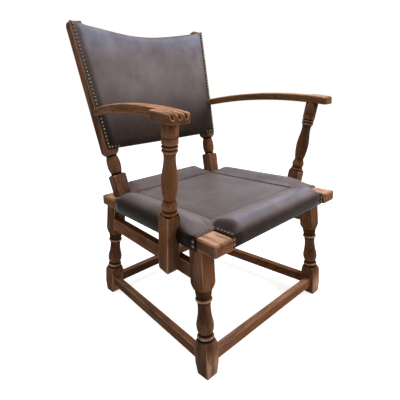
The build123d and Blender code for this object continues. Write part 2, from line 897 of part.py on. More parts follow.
# Whole pieces on the left, each cut for what is let into it
pieces = {}
all_leg_blanks = [leg_blank(front_leg_at, 0), leg_blank(rear_leg_at, 0)]
all_leg_blanks += [mirror(blank, about=Plane.YZ) for blank in all_leg_blanks]
front_ends = (front_left_low, across(front_left_low))
rear_ends = (rear_left_low, across(rear_left_low))
side_ends = (front_left_low, rear_left_low)

front_leg = make_leg(front_leg_at, front_leg_top)
front_leg -= stretcher_tenon(*front_ends, fit)
front_leg -= stretcher_tenon(*side_ends, fit)
front_leg -= lower_rail_tenon(fit)
rear_leg = make_leg(rear_leg_at, rear_leg_top)
rear_leg -= stretcher_tenon(*rear_ends, fit)
rear_leg -= stretcher_tenon(*side_ends, fit)
rear_leg -= lower_rail_tenon(fit)

lower_rail = make_lower_rail()
seat_rail = side_rail_blank()
arm_post_blank = square_blank(arm_post_square, arm_post_length)
arm_post_bottom = arm_post_blank.faces().sort_by(Axis.Z)[0]
arm_post_blank = chamfer(arm_post_bottom.edges(), arm_post_foot_chamfer)
turned_length = arm_post_length - arm_post_block_length
arm_post = turned_stick(
    arm_post_square, arm_post_turning_shares, arm_post_block_length, turned_length, arm_post_blank
)
arm_post = (arm_post_at * arm_post) - seat_rail - lower_rail
arm_post += arm_pin(0)
for pin in dowels(fit):
    arm_post -= pin
    lower_rail -= pin
    seat_rail -= pin
seat_rail -= leg_tenon(front_leg_at, front_leg_top, fit)
seat_rail -= leg_tenon(rear_leg_at, rear_leg_top, fit)
seat_rail -= cross_tenons(cross_rail_setback, fit)
seat_rail -= cross_tenons(rear_rail_near, fit)
seat_rail -= back_post_tenon(fit)

back_post = make_back_post()
back_post -= back_tenons(bottom_rail_start, bottom_rail_end, fit)
back_post -= back_tenons(top_rail_start, top_rail_end, fit)
back_post -= arm_stub(fit)

paired = {
    "front_leg": front_leg + leg_tenon(front_leg_at, front_leg_top, 0),
    "rear_leg": rear_leg + leg_tenon(rear_leg_at, rear_leg_top, 0),
    "stretcher": make_stretcher(*side_ends, all_leg_blanks),
    "lower_rail": lower_rail,
    "seat_rail": seat_rail,
    "arm_post": arm_post,
    "arm_dowels": Compound(dowels(0)),
    "arm": make_arm(),
    "back_post": back_post + back_post_tenon(0),
    "seat_roll": make_side_roll(),
    "seat_nails": seat_nails(),
    "back_nails": back_nails(),
}
for name, piece in paired.items():
    pieces[name + "_left"] = piece
    pieces[name + "_right"] = mirror(piece, about=Plane.YZ)

pieces["stretcher_front"] = make_stretcher(*front_ends, all_leg_blanks)
pieces["stretcher_rear"] = make_stretcher(*rear_ends, all_leg_blanks)
pieces["seat_rail_front"] = make_cross_rail(cross_rail_setback)
pieces["seat_rail_rear"] = make_cross_rail(rear_rail_near)
pieces["back_rail_top"] = make_back_rail(top_rail_start, top_rail_end, back_dip)
pieces["back_rail_bottom"] = make_back_rail(bottom_rail_start, bottom_rail_end, 0)
pieces["back_leather_front"] = make_back_leather()
pieces["back_leather_rear"] = back_sheet(
    back_rail_thickness + soft_gap,
    back_rail_thickness + soft_gap + leather,
    bottom_rail_start + rear_leather_margin,
    top_rail_end - rear_leather_margin,
    back_post_square / 2 + soft_gap,
    back_dip,
)
pieces["back_pad"] = back_sheet(
    0,
    back_rail_thickness,
    bottom_rail_end + soft_gap,
    top_rail_start - soft_gap,
    back_post_square / 2 + soft_gap,
    0,
)
pieces["seat_roll_front"] = make_front_roll()
pieces["seat_roll_rear"] = make_rear_roll()
pieces["seat_panel"] = make_panel()
pieces["seat_pad"] = make_pad()
pieces["seat_webbing_across"] = webbing_across()
pieces["seat_webbing_along"] = webbing_along()

# The origin is under the middle of the whole chair, on the floor
box = Compound(list(pieces.values())).bounding_box()
centre = (box.min.Y + box.max.Y) / 2
for name, piece in pieces.items():
    placed = Pos(0, -centre, 0) * piece
    export_step(placed, "parts/" + name + ".step")
print("size", box.size, "shift", -centre)
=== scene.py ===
import bpy
import bmesh
import math
from mathutils import Matrix, Vector


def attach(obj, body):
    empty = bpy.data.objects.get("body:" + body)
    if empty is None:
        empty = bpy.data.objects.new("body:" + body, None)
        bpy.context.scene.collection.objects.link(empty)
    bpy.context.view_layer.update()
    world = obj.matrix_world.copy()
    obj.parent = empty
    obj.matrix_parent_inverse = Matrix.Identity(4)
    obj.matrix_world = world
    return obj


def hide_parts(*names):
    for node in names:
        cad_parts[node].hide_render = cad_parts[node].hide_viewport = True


# Low oak armchair with a leather seat and back. The scene is in metres, the settings are in millimetres.

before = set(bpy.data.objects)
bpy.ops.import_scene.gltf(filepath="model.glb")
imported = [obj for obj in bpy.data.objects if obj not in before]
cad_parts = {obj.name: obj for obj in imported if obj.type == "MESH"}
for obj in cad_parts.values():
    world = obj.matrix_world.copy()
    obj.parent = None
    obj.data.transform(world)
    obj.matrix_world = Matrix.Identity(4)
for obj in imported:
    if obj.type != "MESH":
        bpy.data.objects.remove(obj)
scene = bpy.context.scene
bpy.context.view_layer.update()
mm = 0.001
print("frame loaded", len(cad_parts), "nodes")

view = {
    "place": (-0.8133, -0.8024, 0.7208),
    "yaw": 44.823,
    "pitch": 12.553,
    "roll": -0.56,
    "lens": 33.826,
    "sensor": 36.0,
    "nearest": 0.05,
    "shift": (0.0005, -0.11),
}


def makeCamera(settings):
    data = bpy.data.cameras.new("camera")
    data.sensor_width = settings["sensor"]
    data.lens = settings["lens"]
    data.shift_x, data.shift_y = settings["shift"]
    data.clip_start = settings["nearest"]
    camera = bpy.data.objects.new("camera", data)
    yaw, pitch, roll = (math.radians(settings[key]) for key in ("yaw", "pitch", "roll"))
    ahead = Vector((math.sin(yaw) * math.cos(pitch), math.cos(yaw) * math.cos(pitch), -math.sin(pitch)))
    level = Vector((math.cos(yaw), -math.sin(yaw), 0.0))
    up = level.cross(ahead)
    right = level * math.cos(roll) + up * math.sin(roll)
    top = up * math.cos(roll) - level * math.sin(roll)
    turn = Matrix((right, top, -ahead)).transposed().to_4x4()
    camera.matrix_world = Matrix.Translation(settings["place"]) @ turn
    scene.collection.objects.link(camera)
    scene.camera = camera


lamps = {
    "key": {"place": (2.0, -2.0, 2.35), "power": 58.0, "size": 1.5, "tint": (1.0, 0.97, 0.96)},
    "window": {"place": (2.3, 1.1, 1.7), "power": 22.0, "size": 1.3, "tint": (0.68, 0.82, 1.0)},
    "sky": {"place": (-0.3, 0.3, 2.8), "power": 48.0, "size": 2.2, "tint": (0.88, 0.94, 1.0)},
}
lampAim = Vector((0.0, 0.0, 0.4))
worldLight = {"tint": (1.0, 0.95, 0.89), "strength": 0.26}
white = (1.0, 1.0, 1.0)


def makeLamps(settings):
    for name, lamp in settings.items():
        data = bpy.data.lights.new(name, "AREA")
        data.shape = "DISK"
        data.size = lamp["size"]
        data.energy = lamp["power"]
        data.color = lamp["tint"]
        thing = bpy.data.objects.new(name, data)
        place = Vector(lamp["place"])
        turn = (lampAim - place).to_track_quat("-Z", "Y").to_matrix().to_4x4()
        thing.matrix_world = Matrix.Translation(place) @ turn
        scene.collection.objects.link(thing)


# A number, a colour or another node's output goes into a socket.
def feed(tree, socket, value):
    if isinstance(value, float):
        socket.default_value = value
    elif isinstance(value, tuple):
        socket.default_value = (*value, 1.0)
    else:
        tree.links.new(value, socket)


def maths(tree, operation, first, second):
    node = tree.nodes.new("ShaderNodeMath")
    node.operation = operation
    feed(tree, node.inputs[0], first)
    feed(tree, node.inputs[1], second)
    return node.outputs[0]


# One for camera, glossy and transmission rays, which see the white studio.
def seenRay(tree):
    rays = tree.nodes.new("ShaderNodeLightPath").outputs
    seen = maths(tree, "MAXIMUM", rays["Is Camera Ray"], rays["Is Glossy Ray"])
    return maths(tree, "MAXIMUM", seen, rays["Is Transmission Ray"])


def makeWorld(settings):
    world = bpy.data.worlds.new("studio")
    world.use_nodes = True
    tree = world.node_tree
    tree.nodes.clear()
    mix = tree.nodes.new("ShaderNodeMixShader")
    feed(tree, mix.inputs[0], seenRay(tree))
    for index, tint, strength in ((1, settings["tint"], settings["strength"]), (2, white, 1.0)):
        light = tree.nodes.new("ShaderNodeBackground")
        feed(tree, light.inputs["Color"], tint)
        feed(tree, light.inputs["Strength"], strength)
        feed(tree, mix.inputs[index], light.outputs[0])
    out = tree.nodes.new("ShaderNodeOutputWorld")
    feed(tree, out.inputs[0], mix.outputs[0])
    scene.world = world


def meshObject(name, bm):
    mesh = bpy.data.meshes.new(name)
    bm.to_mesh(mesh)
    thing = bpy.data.objects.new(name, mesh)
    scene.collection.objects.link(thing)
    return thing


floorLook = {"size": 14.0, "colour": (0.80, 0.80, 0.80), "lift": 0.80}


def makeFloor(settings):
    bm = bmesh.new()
    bmesh.ops.create_grid(bm, x_segments=2, y_segments=2, size=settings["size"])
    floor = meshObject("floor", bm)
    bm.free()
    material = bpy.data.materials.new("paleFloor")
    material.use_nodes = True
    tree = material.node_tree
    tree.nodes.clear()
    matt = tree.nodes.new("ShaderNodeBsdfDiffuse")
    feed(tree, matt.inputs["Color"], settings["colour"])
    glow = tree.nodes.new("ShaderNodeEmission")
    feed(tree, glow.inputs["Color"], white)
    feed(tree, glow.inputs["Strength"], maths(tree, "MULTIPLY", seenRay(tree), settings["lift"]))
    both = tree.nodes.new("ShaderNodeAddShader")
    feed(tree, both.inputs[0], matt.outputs[0])
    feed(tree, both.inputs[1], glow.outputs[0])
    out = tree.nodes.new("ShaderNodeOutputMaterial")
    feed(tree, out.inputs[0], both.outputs[0])
    floor.data.materials.append(material)


makeCamera(view)
makeLamps(lamps)
makeWorld(worldLight)
makeFloor(floorLook)
scene.view_settings.view_transform = "Standard"
print("camera, lamps and floor are set")


def newMaterial(name):
    material = bpy.data.materials.new(name)
    material.use_nodes = True
    return material, material.node_tree, material.node_tree.nodes["Principled BSDF"]


def mapped(tree, size=(1.0, 1.0, 1.0)):
    place = tree.nodes.new("ShaderNodeTexCoord")
    mapping = tree.nodes.new("ShaderNodeMapping")
    mapping.inputs["Scale"].default_value = size
    feed(tree, mapping.inputs["Vector"], place.outputs["Object"])
    return mapping.outputs["Vector"]


def noiseNode(tree, vector, scale, detail, roughness):
    node = tree.nodes.new("ShaderNodeTexNoise")
    feed(tree, node.inputs["Scale"], scale)
    feed(tree, node.inputs["Detail"], detail)
    feed(tree, node.inputs["Roughness"], roughness)
    feed(tree, node.inputs["Vector"], vector)
    return node.outputs["Fac"]


def ramp(tree, value, stops):
    node = tree.nodes.new("ShaderNodeValToRGB")
    band = node.color_ramp
    while len(band.elements) < len(stops):
        band.elements.new(0.5)
    for element, (place, colour) in zip(band.elements, stops):
        element.position = place
        element.color = (*colour, 1.0) if isinstance(colour, tuple) else (colour, colour, colour, 1.0)
    feed(tree, node.inputs["Fac"], value)
    return node.outputs["Color"]


# Patches from one noise, given as its scale, detail and roughness, then where they begin and end.
def patches(tree, vector, noise, *stops):
    return ramp(tree, noiseNode(tree, vector, *noise), stops)


def mixColour(tree, share, first, second):
    node = tree.nodes.new("ShaderNodeMix")
    node.data_type = "RGBA"
    for index, value in ((0, share), (6, first), (7, second)):
        feed(tree, node.inputs[index], value)
    return node.outputs[2]


def attribute(tree, name):
    node = tree.nodes.new("ShaderNodeAttribute")
    node.attribute_name = name
    return node.outputs["Fac"]


def bumped(tree, height, strength, distance, before=None):
    bump = tree.nodes.new("ShaderNodeBump")
    feed(tree, bump.inputs["Strength"], strength)
    feed(tree, bump.inputs["Distance"], distance * mm)
    feed(tree, bump.inputs["Height"], height)
    if before:
        feed(tree, bump.inputs["Normal"], before)
    return bump.outputs[0]


# Colour, roughness, relief and a weak tinted gloss.
def coated(tree, shader, colour, rough, relief, look):
    feed(tree, shader.inputs["Base Color"], colour)
    feed(tree, shader.inputs["Roughness"], rough)
    feed(tree, shader.inputs["Normal"], relief)
    feed(tree, shader.inputs["Specular IOR Level"], look["gloss"])
    feed(tree, shader.inputs["Specular Tint"], look["sheenTint"])


# Fine and broad scale the noise along the grain, which draws it out. Stops are places with strengths.
oakLook = {
    "dark": (0.042, 0.016, 0.0075),
    "middle": (0.19, 0.080, 0.035),
    "light": (0.46, 0.21, 0.088),
    "smoke": (0.042, 0.026, 0.019),
    "dusty": (0.26, 0.160, 0.110),
    # The rubbed and worn colours also stand in for painted top light and sheen, and the next one darkens
    # hollows with dirt and painted shade.
    "rubbed": (0.48, 0.185, 0.085),
    "worn": (0.74, 0.42, 0.265),
    "grimeAndShade": (0.0085, 0.005, 0.0035),
    "fine": 0.045,
    "broad": 0.22,
    "streaks": (380.0, 4.0, 0.62),
    "tone": (24.0, 4.0, 0.6),
    "evenStops": ((0.34, 0.0), (0.62, 0.85)),
    "smokePatches": ((14.0, 3.0, 0.5), (0.40, 0.85), (0.56, 0.0)),
    "dustyPatches": ((31.0, 4.0, 0.6), (0.5, 0.0), (0.64, 0.45)),
    "pores": ((1100.0, 2.0, 0.5), (0.58, 0.0), (0.68, 0.7)),
    "wearPatches": ((65.0, 3.0, 0.6), (0.32, 0.25), (0.62, 1.0)),
    "roughStops": ((0.3, 0.32), (0.7, 0.5)),
    "poreDepth": 0.4,
    "relief": (0.4, 0.5),
    "gloss": 0.004,
    "sheenTint": (1.0, 0.6, 0.38),
}


# Waxed oak: long grain, open pores, cloudy tone, rubbed arrises and tops that are partly worn and partly
# painted light and sheen, and dirt with painted shade in the hollows.
def makeOak(name, grain, look):
    material, tree, shader = newMaterial(name)
    fine, broad = (
        mapped(tree, tuple(1.0 + (look[key] - 1.0) * part for part in grain)) for key in ("fine", "broad")
    )
    streak = noiseNode(tree, fine, *look["streaks"])
    tone = noiseNode(tree, broad, *look["tone"])
    pores = patches(tree, fine, *look["pores"])
    wearAndSheen = attribute(tree, "wearAndSheen")
    wood = ramp(tree, streak, ((0.30, look["dark"]), (0.5, look["middle"]), (0.72, look["light"])))
    wood = mixColour(tree, ramp(tree, tone, look["evenStops"]), wood, look["middle"])
    wood = mixColour(tree, patches(tree, broad, *look["smokePatches"]), wood, look["smoke"])
    wood = mixColour(tree, patches(tree, broad, *look["dustyPatches"]), wood, look["dusty"])
    wood = mixColour(tree, pores, wood, look["dark"])
    # Worn arrises and swells turn paler, along with painted top light and sheen.
    rubbed = maths(tree, "MULTIPLY", wearAndSheen, patches(tree, broad, *look["wearPatches"]))
    bare = ramp(tree, wearAndSheen, ((0.25, look["rubbed"]), (0.8, look["worn"])))
    wood = mixColour(tree, rubbed, wood, bare)
    # Hollows darken with dirt and painted shade.
    wood = mixColour(tree, attribute(tree, "grimeAndShade"), wood, look["grimeAndShade"])
    surface = maths(tree, "SUBTRACT", streak, maths(tree, "MULTIPLY", pores, look["poreDepth"]))
    relief = bumped(tree, surface, *look["relief"])
    coated(tree, shader, wood, ramp(tree, tone, look["roughStops"]), relief, look)
    return material


leatherLook = {
    "deep": (0.014, 0.009, 0.0075),
    "brown": (0.046, 0.031, 0.025),
    "rubbed": (0.066, 0.046, 0.038),
    "red": (0.075, 0.032, 0.02),
    # The next two colours are a painted sheen and a painted bluish sky reflection.
    "paintedSheen": (0.278, 0.226, 0.228),
    "sky": (0.275, 0.27, 0.34),
    "edge": (0.27, 0.155, 0.095),
    "clouds": (8.0, 4.0, 0.6),
    "mottle": (60.0, 4.0, 0.6),
    "deepStops": ((0.42, 0.0), (0.75, 0.4)),
    "paintedSheenPatches": ((15.0, 3.0, 0.55), (0.3, 0.62), (0.7, 1.0)),
    "redPatches": ((12.0, 3.0, 0.5), (0.54, 0.0), (0.8, 0.4)),
    "roughStops": ((0.25, 0.29), (0.75, 0.41)),
    "pebbles": 620.0,
    "pebbleRelief": (0.2, 0.3),
    "creaseRelief": (0.2, 0.9),
    "gloss": 0.022,
    "sheenTint": (1.0, 0.9, 0.85),
}


# Dark hide: cloudy brown with a painted bluish sheen and painted sky reflection on faces turned up to the
# light, and painted shade in seams, hollows and hems.
def makeLeather(name, look):
    material, tree, shader = newMaterial(name)
    place = mapped(tree)
    cloud = noiseNode(tree, place, *look["clouds"])
    mottle = noiseNode(tree, place, *look["mottle"])
    paintedSheen = attribute(tree, "paintedSheen")
    hide = ramp(tree, cloud, ((0.32, look["brown"]), (0.66, look["rubbed"])))
    hide = mixColour(tree, ramp(tree, mottle, look["deepStops"]), hide, look["deep"])
    # A painted sheen in patches, turning into a painted sky reflection where it is strongest.
    paintedSheenShare = maths(tree, "MULTIPLY", paintedSheen, patches(tree, place, *look["paintedSheenPatches"]))
    paintedSheenColour = ramp(tree, paintedSheen, ((0.82, look["paintedSheen"]), (1.0, look["sky"])))
    hide = mixColour(tree, paintedSheenShare, hide, paintedSheenColour)
    hide = mixColour(tree, patches(tree, place, *look["redPatches"]), hide, look["red"])
    # Painted shade in seams, hollows, hems and low on the back.
    hide = mixColour(tree, attribute(tree, "grimeAndShade"), hide, look["deep"])
    hide = mixColour(tree, attribute(tree, "wearAndSheen"), hide, look["edge"])
    grain = tree.nodes.new("ShaderNodeTexVoronoi")
    grain.feature = "F1"
    feed(tree, grain.inputs["Scale"], look["pebbles"])
    feed(tree, grain.inputs["Vector"], place)
    pebbles = bumped(tree, grain.outputs["Distance"], *look["pebbleRelief"])
    creases = bumped(tree, mottle, *look["creaseRelief"], pebbles)
    coated(tree, shader, hide, ramp(tree, cloud, look["roughStops"]), creases, look)
    return material


brassLook = {
    "bright": (0.34, 0.235, 0.16), "dull": (0.045, 0.031, 0.02), "spots": (420.0, 3.0, 0.6),
    "metallic": 0.85, "roughness": 0.36,
}


def makeBrass(name, look):
    material, tree, shader = newMaterial(name)
    spots = noiseNode(tree, mapped(tree), *look["spots"])
    metal = ramp(tree, spots, ((0.42, look["dull"]), (0.66, look["bright"])))
    # Dull below and bright on the crown: partly rubbed brass, partly a painted highlight.
    metal = mixColour(tree, attribute(tree, "wearAndSheen"), look["dull"], metal)
    feed(tree, shader.inputs["Base Color"], metal)
    feed(tree, shader.inputs["Metallic"], look["metallic"])
    feed(tree, shader.inputs["Roughness"], look["roughness"])
    return material


# At a scale of one, a wave texture repeats after waveRun metres.
waveRun = 0.314
clothLook = {
    "juteWebbing": {"light": (0.46, 0.36, 0.23), "dark": (0.19, 0.14, 0.085), "pitch": 2.4},
    "linenCover": {"light": (0.36, 0.30, 0.22), "dark": (0.17, 0.135, 0.095), "pitch": 1.4},
}
clothSurface = {
    "patches": ((40.0, 3.0, 0.6), (0.35, 0.0), (0.75, 0.5)), "wander": 0.6, "relief": (0.5, 0.8),
    "roughness": 0.9, "gloss": 0.15,
}


# Plain weave on Object coordinates, for the webbing and for the linen over the stuffing.
def makeWeave(name, look, surface):
    material, tree, shader = newMaterial(name)
    place = mapped(tree)
    waves = []
    for direction in "XY":
        wave = tree.nodes.new("ShaderNodeTexWave")
        wave.bands_direction = direction
        feed(tree, wave.inputs["Scale"], waveRun / (look["pitch"] * mm))
        feed(tree, wave.inputs["Distortion"], surface["wander"])
        feed(tree, wave.inputs["Vector"], place)
        waves.append(wave.outputs["Fac"])
    weave = maths(tree, "MULTIPLY", *waves)
    cloth = ramp(tree, weave, ((0.0, look["dark"]), (0.55, look["light"])))
    cloth = mixColour(tree, patches(tree, place, *surface["patches"]), cloth, look["dark"])
    feed(tree, shader.inputs["Base Color"], cloth)
    feed(tree, shader.inputs["Roughness"], surface["roughness"])
    feed(tree, shader.inputs["Specular IOR Level"], surface["gloss"])
    feed(tree, shader.inputs["Normal"], bumped(tree, weave, *surface["relief"]))
    return material


oakUpright = makeOak("oakUpright", (0, 0, 1), oakLook)
oakAlong = makeOak("oakAlong", (0, 1, 0), oakLook)
oakAcross = makeOak("oakAcross", (1, 0, 0), oakLook)
leather = makeLeather("darkLeather", leatherLook)
brass = makeBrass("agedBrass", brassLook)
jute, linen = (makeWeave(name, look, clothSurface) for name, look in clothLook.items())
print("finishes are made")


def smoothStep(value, low, high):
    share = min(1.0, max(0.0, (value - low) / (high - low)))
    return share * share * (3.0 - 2.0 * share)


# A smooth curve through a row of points, from 0 at the first to 1 at the last.
def curveAt(points, share):
    steps = len(points) - 1
    place = min(max(share, 0.0), 0.999999) * steps
    index = int(place)
    t = place - index
    rows = (points[max(index - 1, 0)], points[index], points[index + 1], points[min(index + 2, steps)])
    spot = []
    for a, b, c, d in zip(*rows):
        bend = 2 * a - 5 * b + 4 * c - d
        twist = 3 * b - a - 3 * c + d
        spot.append(0.5 * (2 * b + (c - a) * t + bend * t * t + twist * t * t * t))
    return spot


def finishPiece(name, bm, material, nodes):
    piece = meshObject(name, bm)
    bm.free()
    piece.data.materials.append(material)
    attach(piece, "root")
    if nodes:
        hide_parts(*nodes)
    return piece


def pieceName(node, ending="dressed"):
    return node.replace("_", "-") + "-" + ending


def mirrored(bm):
    twin = bm.copy()
    bmesh.ops.scale(twin, vec=(-1.0, 1.0, 1.0), verts=twin.verts)
    bmesh.ops.reverse_faces(twin, faces=twin.faces)
    return twin


def finishPair(name, bm, material):
    twin = mirrored(bm)
    for side, half in (("left", bm), ("right", twin)):
        node = name + "_" + side
        finishPiece(pieceName(node), half, material, [node])


def nodeCopy(node):
    bm = bmesh.new()
    bm.from_mesh(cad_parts[node].data)
    bmesh.ops.remove_doubles(bm, verts=bm.verts, dist=2e-6)
    return bm


def shadedSmooth(bm):
    for face in bm.faces:
        face.smooth = True


# Rounds edges over and gives the new faces.
def rounded(bm, edges, size, segments, clamp=False):
    made = bmesh.ops.bevel(
        bm, geom=edges, offset=size * mm, offset_type="OFFSET", affect="EDGES", segments=segments,
        profile=0.5, material=-1, clamp_overlap=clamp,
    )
    return set(made["faces"])


# The seat frame and its leather, in millimetres and degrees. Stations run back from the frame's front edge.
seat = {
    "height": 358.0, "tilt": 1.2, "frontY": -302.132, "front": 272.0, "angle": 4.1, "rail": 30.0,
    "rearEdge": 508.0, "frontSetback": 11.0, "notch": 209.0, "notchLength": 63.0,
    "rearNotch": (178.1, 434.8), "panelFront": (180.0, 97.0), "panelRear": (164.0, 431.0), "seam": 11.0,
    "dish": 6.0, "flat": 3.6,
}


def sineCosine(angle):
    return math.sin(math.radians(angle)), math.cos(math.radians(angle))


# The way up a stick of the left half, which leans outward and to the rear as it rises.
def leaning(outward, rearward):
    return Vector((-math.tan(math.radians(outward)), math.tan(math.radians(rearward)), 1.0)).normalized()


# A place with its z up a stick or out of a face, and its x square to that and to the facing.
def standing(origin, up, facing):
    across = facing.cross(up).normalized()
    turn = Matrix((across, up.cross(across), up)).transposed().to_4x4()
    return Matrix.Translation(origin) @ turn


toRear = Vector((0.0, 1.0, 0.0))
seatUp = leaning(0.0, seat["tilt"])
seatTurn = standing(Vector((0.0, seat["frontY"], seat["height"])) * mm, seatUp, toRear)


def seatPoint(x, station, height):
    return seatTurn @ Vector((x * mm, station * mm, height * mm))


def outerHalf(station):
    return seat["front"] - station * math.tan(math.radians(seat["angle"]))


# Turned outlines, from the lower end up: height and radius as shares, then the swell of the stretch.
leg = {
    "square": 42.0, "block": 66.0, "head": 77.0, "splay": 1.1, "over": 30.0, "taper": 32.0,
    "taperShare": 0.83, "steps": 72, "arris": 3.2, "toe": 3.4, "toeWear": 0.45,
    "leastSole": 0.0004, "scuff": 0.7, "scuffAround": 0.2, "scuffHeights": (60.0, 85.0),
    "shape": (
        (0.0, 1.45, 0.0), (0.152, 0.98, 0.14), (0.163, 0.90, 0.0), (0.168, 0.92, 0.0), (0.217, 0.90, 0.10),
        (0.225, 0.82, 0.0), (0.250, 0.84, -0.03), (0.410, 0.955, 0.12), (0.538, 0.775, -0.02),
        (0.674, 0.80, -0.035), (0.685, 0.86, 0.0), (0.690, 0.90, 0.0), (0.734, 0.90, 0.09),
        (0.745, 0.86, 0.0), (0.750, 0.87, 0.0), (0.840, 1.0, 0.0), (0.846, 0.96, 0.0), (0.852, 1.04, 0.0),
        (1.0, 1.45, 0.12),
    ),
}
legs = {
    "front_leg": {"inset": 22.5, "station": 71.0, "rake": 4.25},
    "rear_leg": {"inset": 36.0, "station": 496.0, "rake": -6.7},
}
armPost = {
    "square": 38.0, "block": 152.0, "length": 389.954, "splay": 4.9, "rake": 8.6, "station": 147.0,
    "housing": 5.0, "hang": 83.0, "steps": 72, "arris": 3.0, "footChamfer": 4.0,
    "shape": (
        (0.0, 1.45, 0.0), (0.030, 1.02, 0.05), (0.034, 0.97, 0.0), (0.040, 1.03, 0.0), (0.068, 0.90, 0.03),
        (0.074, 0.86, 0.0), (0.086, 0.90, 0.0), (0.150, 0.90, 0.10), (0.158, 0.86, 0.0), (0.164, 0.86, 0.0),
        (0.190, 0.745, -0.02), (0.203, 0.77, -0.02), (0.503, 0.89, 0.19), (0.621, 0.725, -0.03),
        (0.679, 0.85, -0.05), (0.686, 0.92, 0.0), (0.706, 0.92, 0.08), (0.714, 0.88, 0.0),
        (0.723, 0.92, 0.0), (0.748, 0.92, 0.10), (0.757, 0.90, 0.0), (0.769, 1.0, 0.0), (0.823, 1.0, 0.0),
        (0.832, 0.95, 0.0), (0.842, 1.0, 0.0), (1.0, 1.0, 0.0),
    ),
}
backPost = {
    "square": 40.0, "block": 66.0, "turned": 82.0, "length": 540.0, "over": 20.0, "flare": 5.75,
    "rake": 15.1, "inset": 40.0, "station": 456.0, "thinFrom": 170.0, "thinDepth": 29.0, "chamfer": 8.0,
    "steps": 72, "arris": 2.8,
    "shape": (
        (0.0, 1.45, 0.0), (0.060, 0.90, 0.06), (0.090, 0.78, 0.0), (0.400, 1.03, 0.06), (0.760, 0.82, 0.07),
        (0.785, 0.78, 0.0), (1.0, 1.45, 0.12),
    ),
}
turning = {"step": 2.2, "below": -20.0, "merge": 1e-6}

# How oak is rubbed pale on arrises and swells, the pale swells also a painted sheen, and darkened in hollows
# with dirt and painted shade. Shifts are where a radius is compared.
rub = {
    "arris": 0.7, "flat": 0.09, "turned": 0.07, "swell": 0.5, "most": 0.9, "hollow": 0.75, "clean": 0.12,
    "darkest": 0.95, "shifts": (-5, -3, 3, 5), "sharp": 20.0, "shortest": 6.0,
}

# The left back post's axis, the way up the back, and the back's front plane.
rakeSine, rakeCosine = sineCosine(backPost["rake"])
backUp = Vector((0.0, rakeSine, rakeCosine))
backOut = Vector((0.0, -rakeCosine, rakeSine))
backPostUp = leaning(backPost["flare"], backPost["rake"])
backPostFoot = seatPoint(backPost["inset"] - outerHalf(backPost["station"]), backPost["station"], 0.0)
backPostTurn = standing(backPostFoot, backPostUp, -backOut)
backFace = backPostFoot + backOut * (backPost["square"] / 2 * mm)
backTurn = standing(Vector((0.0, backFace.y, backFace.z)), backOut, backUp)


# The turned outline as heights and radii in millimetres, with its swells rounded out.
def outlinePoints(settings, start, length):
    half = settings["square"] / 2
    shape = settings["shape"]
    corners = [(start + row[0] * length, row[1] * half) for row in shape]
    points = [corners[0]]
    for (z0, r0), (z1, r1), row in zip(corners, corners[1:], shape[1:]):
        run = math.hypot(z1 - z0, r1 - r0)
        pieces = max(1, int(run / turning["step"])) if row[2] else 1
        for index in range(1, pieces + 1):
            t = index / pieces
            swell = 4 * row[2] * half * t * (1 - t)
            along, out = (z1 - z0) / run, (r1 - r0) / run
            points.append((z0 + (z1 - z0) * t - swell * out, r0 + (r1 - r0) * t + swell * along))
    return points


def radiusAt(points, height):
    for (z0, r0), (z1, r1) in zip(points, points[1:]):
        if z0 <= height <= z1:
            return r0 + (r1 - r0) * (height - z0) / max(z1 - z0, 1e-6)
    return points[0][1] if height < points[0][0] else points[-1][1]


def wholeMesh(bm):
    return bm.verts[:] + bm.edges[:] + bm.faces[:]


def planed(bm, point, normal):
    cut = bmesh.ops.bisect_plane(
        bm, geom=wholeMesh(bm), dist=turning["merge"], plane_co=point, plane_no=normal, clear_outer=True,
    )
    edges = [part for part in cut["geom_cut"] if isinstance(part, bmesh.types.BMEdge)]
    return bmesh.ops.holes_fill(bm, edges=edges, sides=0)["faces"]


def squareFlats(half):
    return [((x * half, y * half, 0), (x, y, 0)) for x, y in ((1, 0), (-1, 0), (0, 1), (0, -1))]


# A foot block's four flats draw in towards the floor.
def tapered(bm, height, toeShare):
    bmesh.ops.bisect_plane(
        bm, geom=wholeMesh(bm), dist=turning["merge"], plane_co=(0, 0, height), plane_no=(0, 0, 1),
    )
    for vert in [vert for vert in bm.verts if vert.co.z < height]:
        share = 1 - (1 - toeShare) * (1 - vert.co.z / height)
        vert.co.x *= share
        vert.co.y *= share


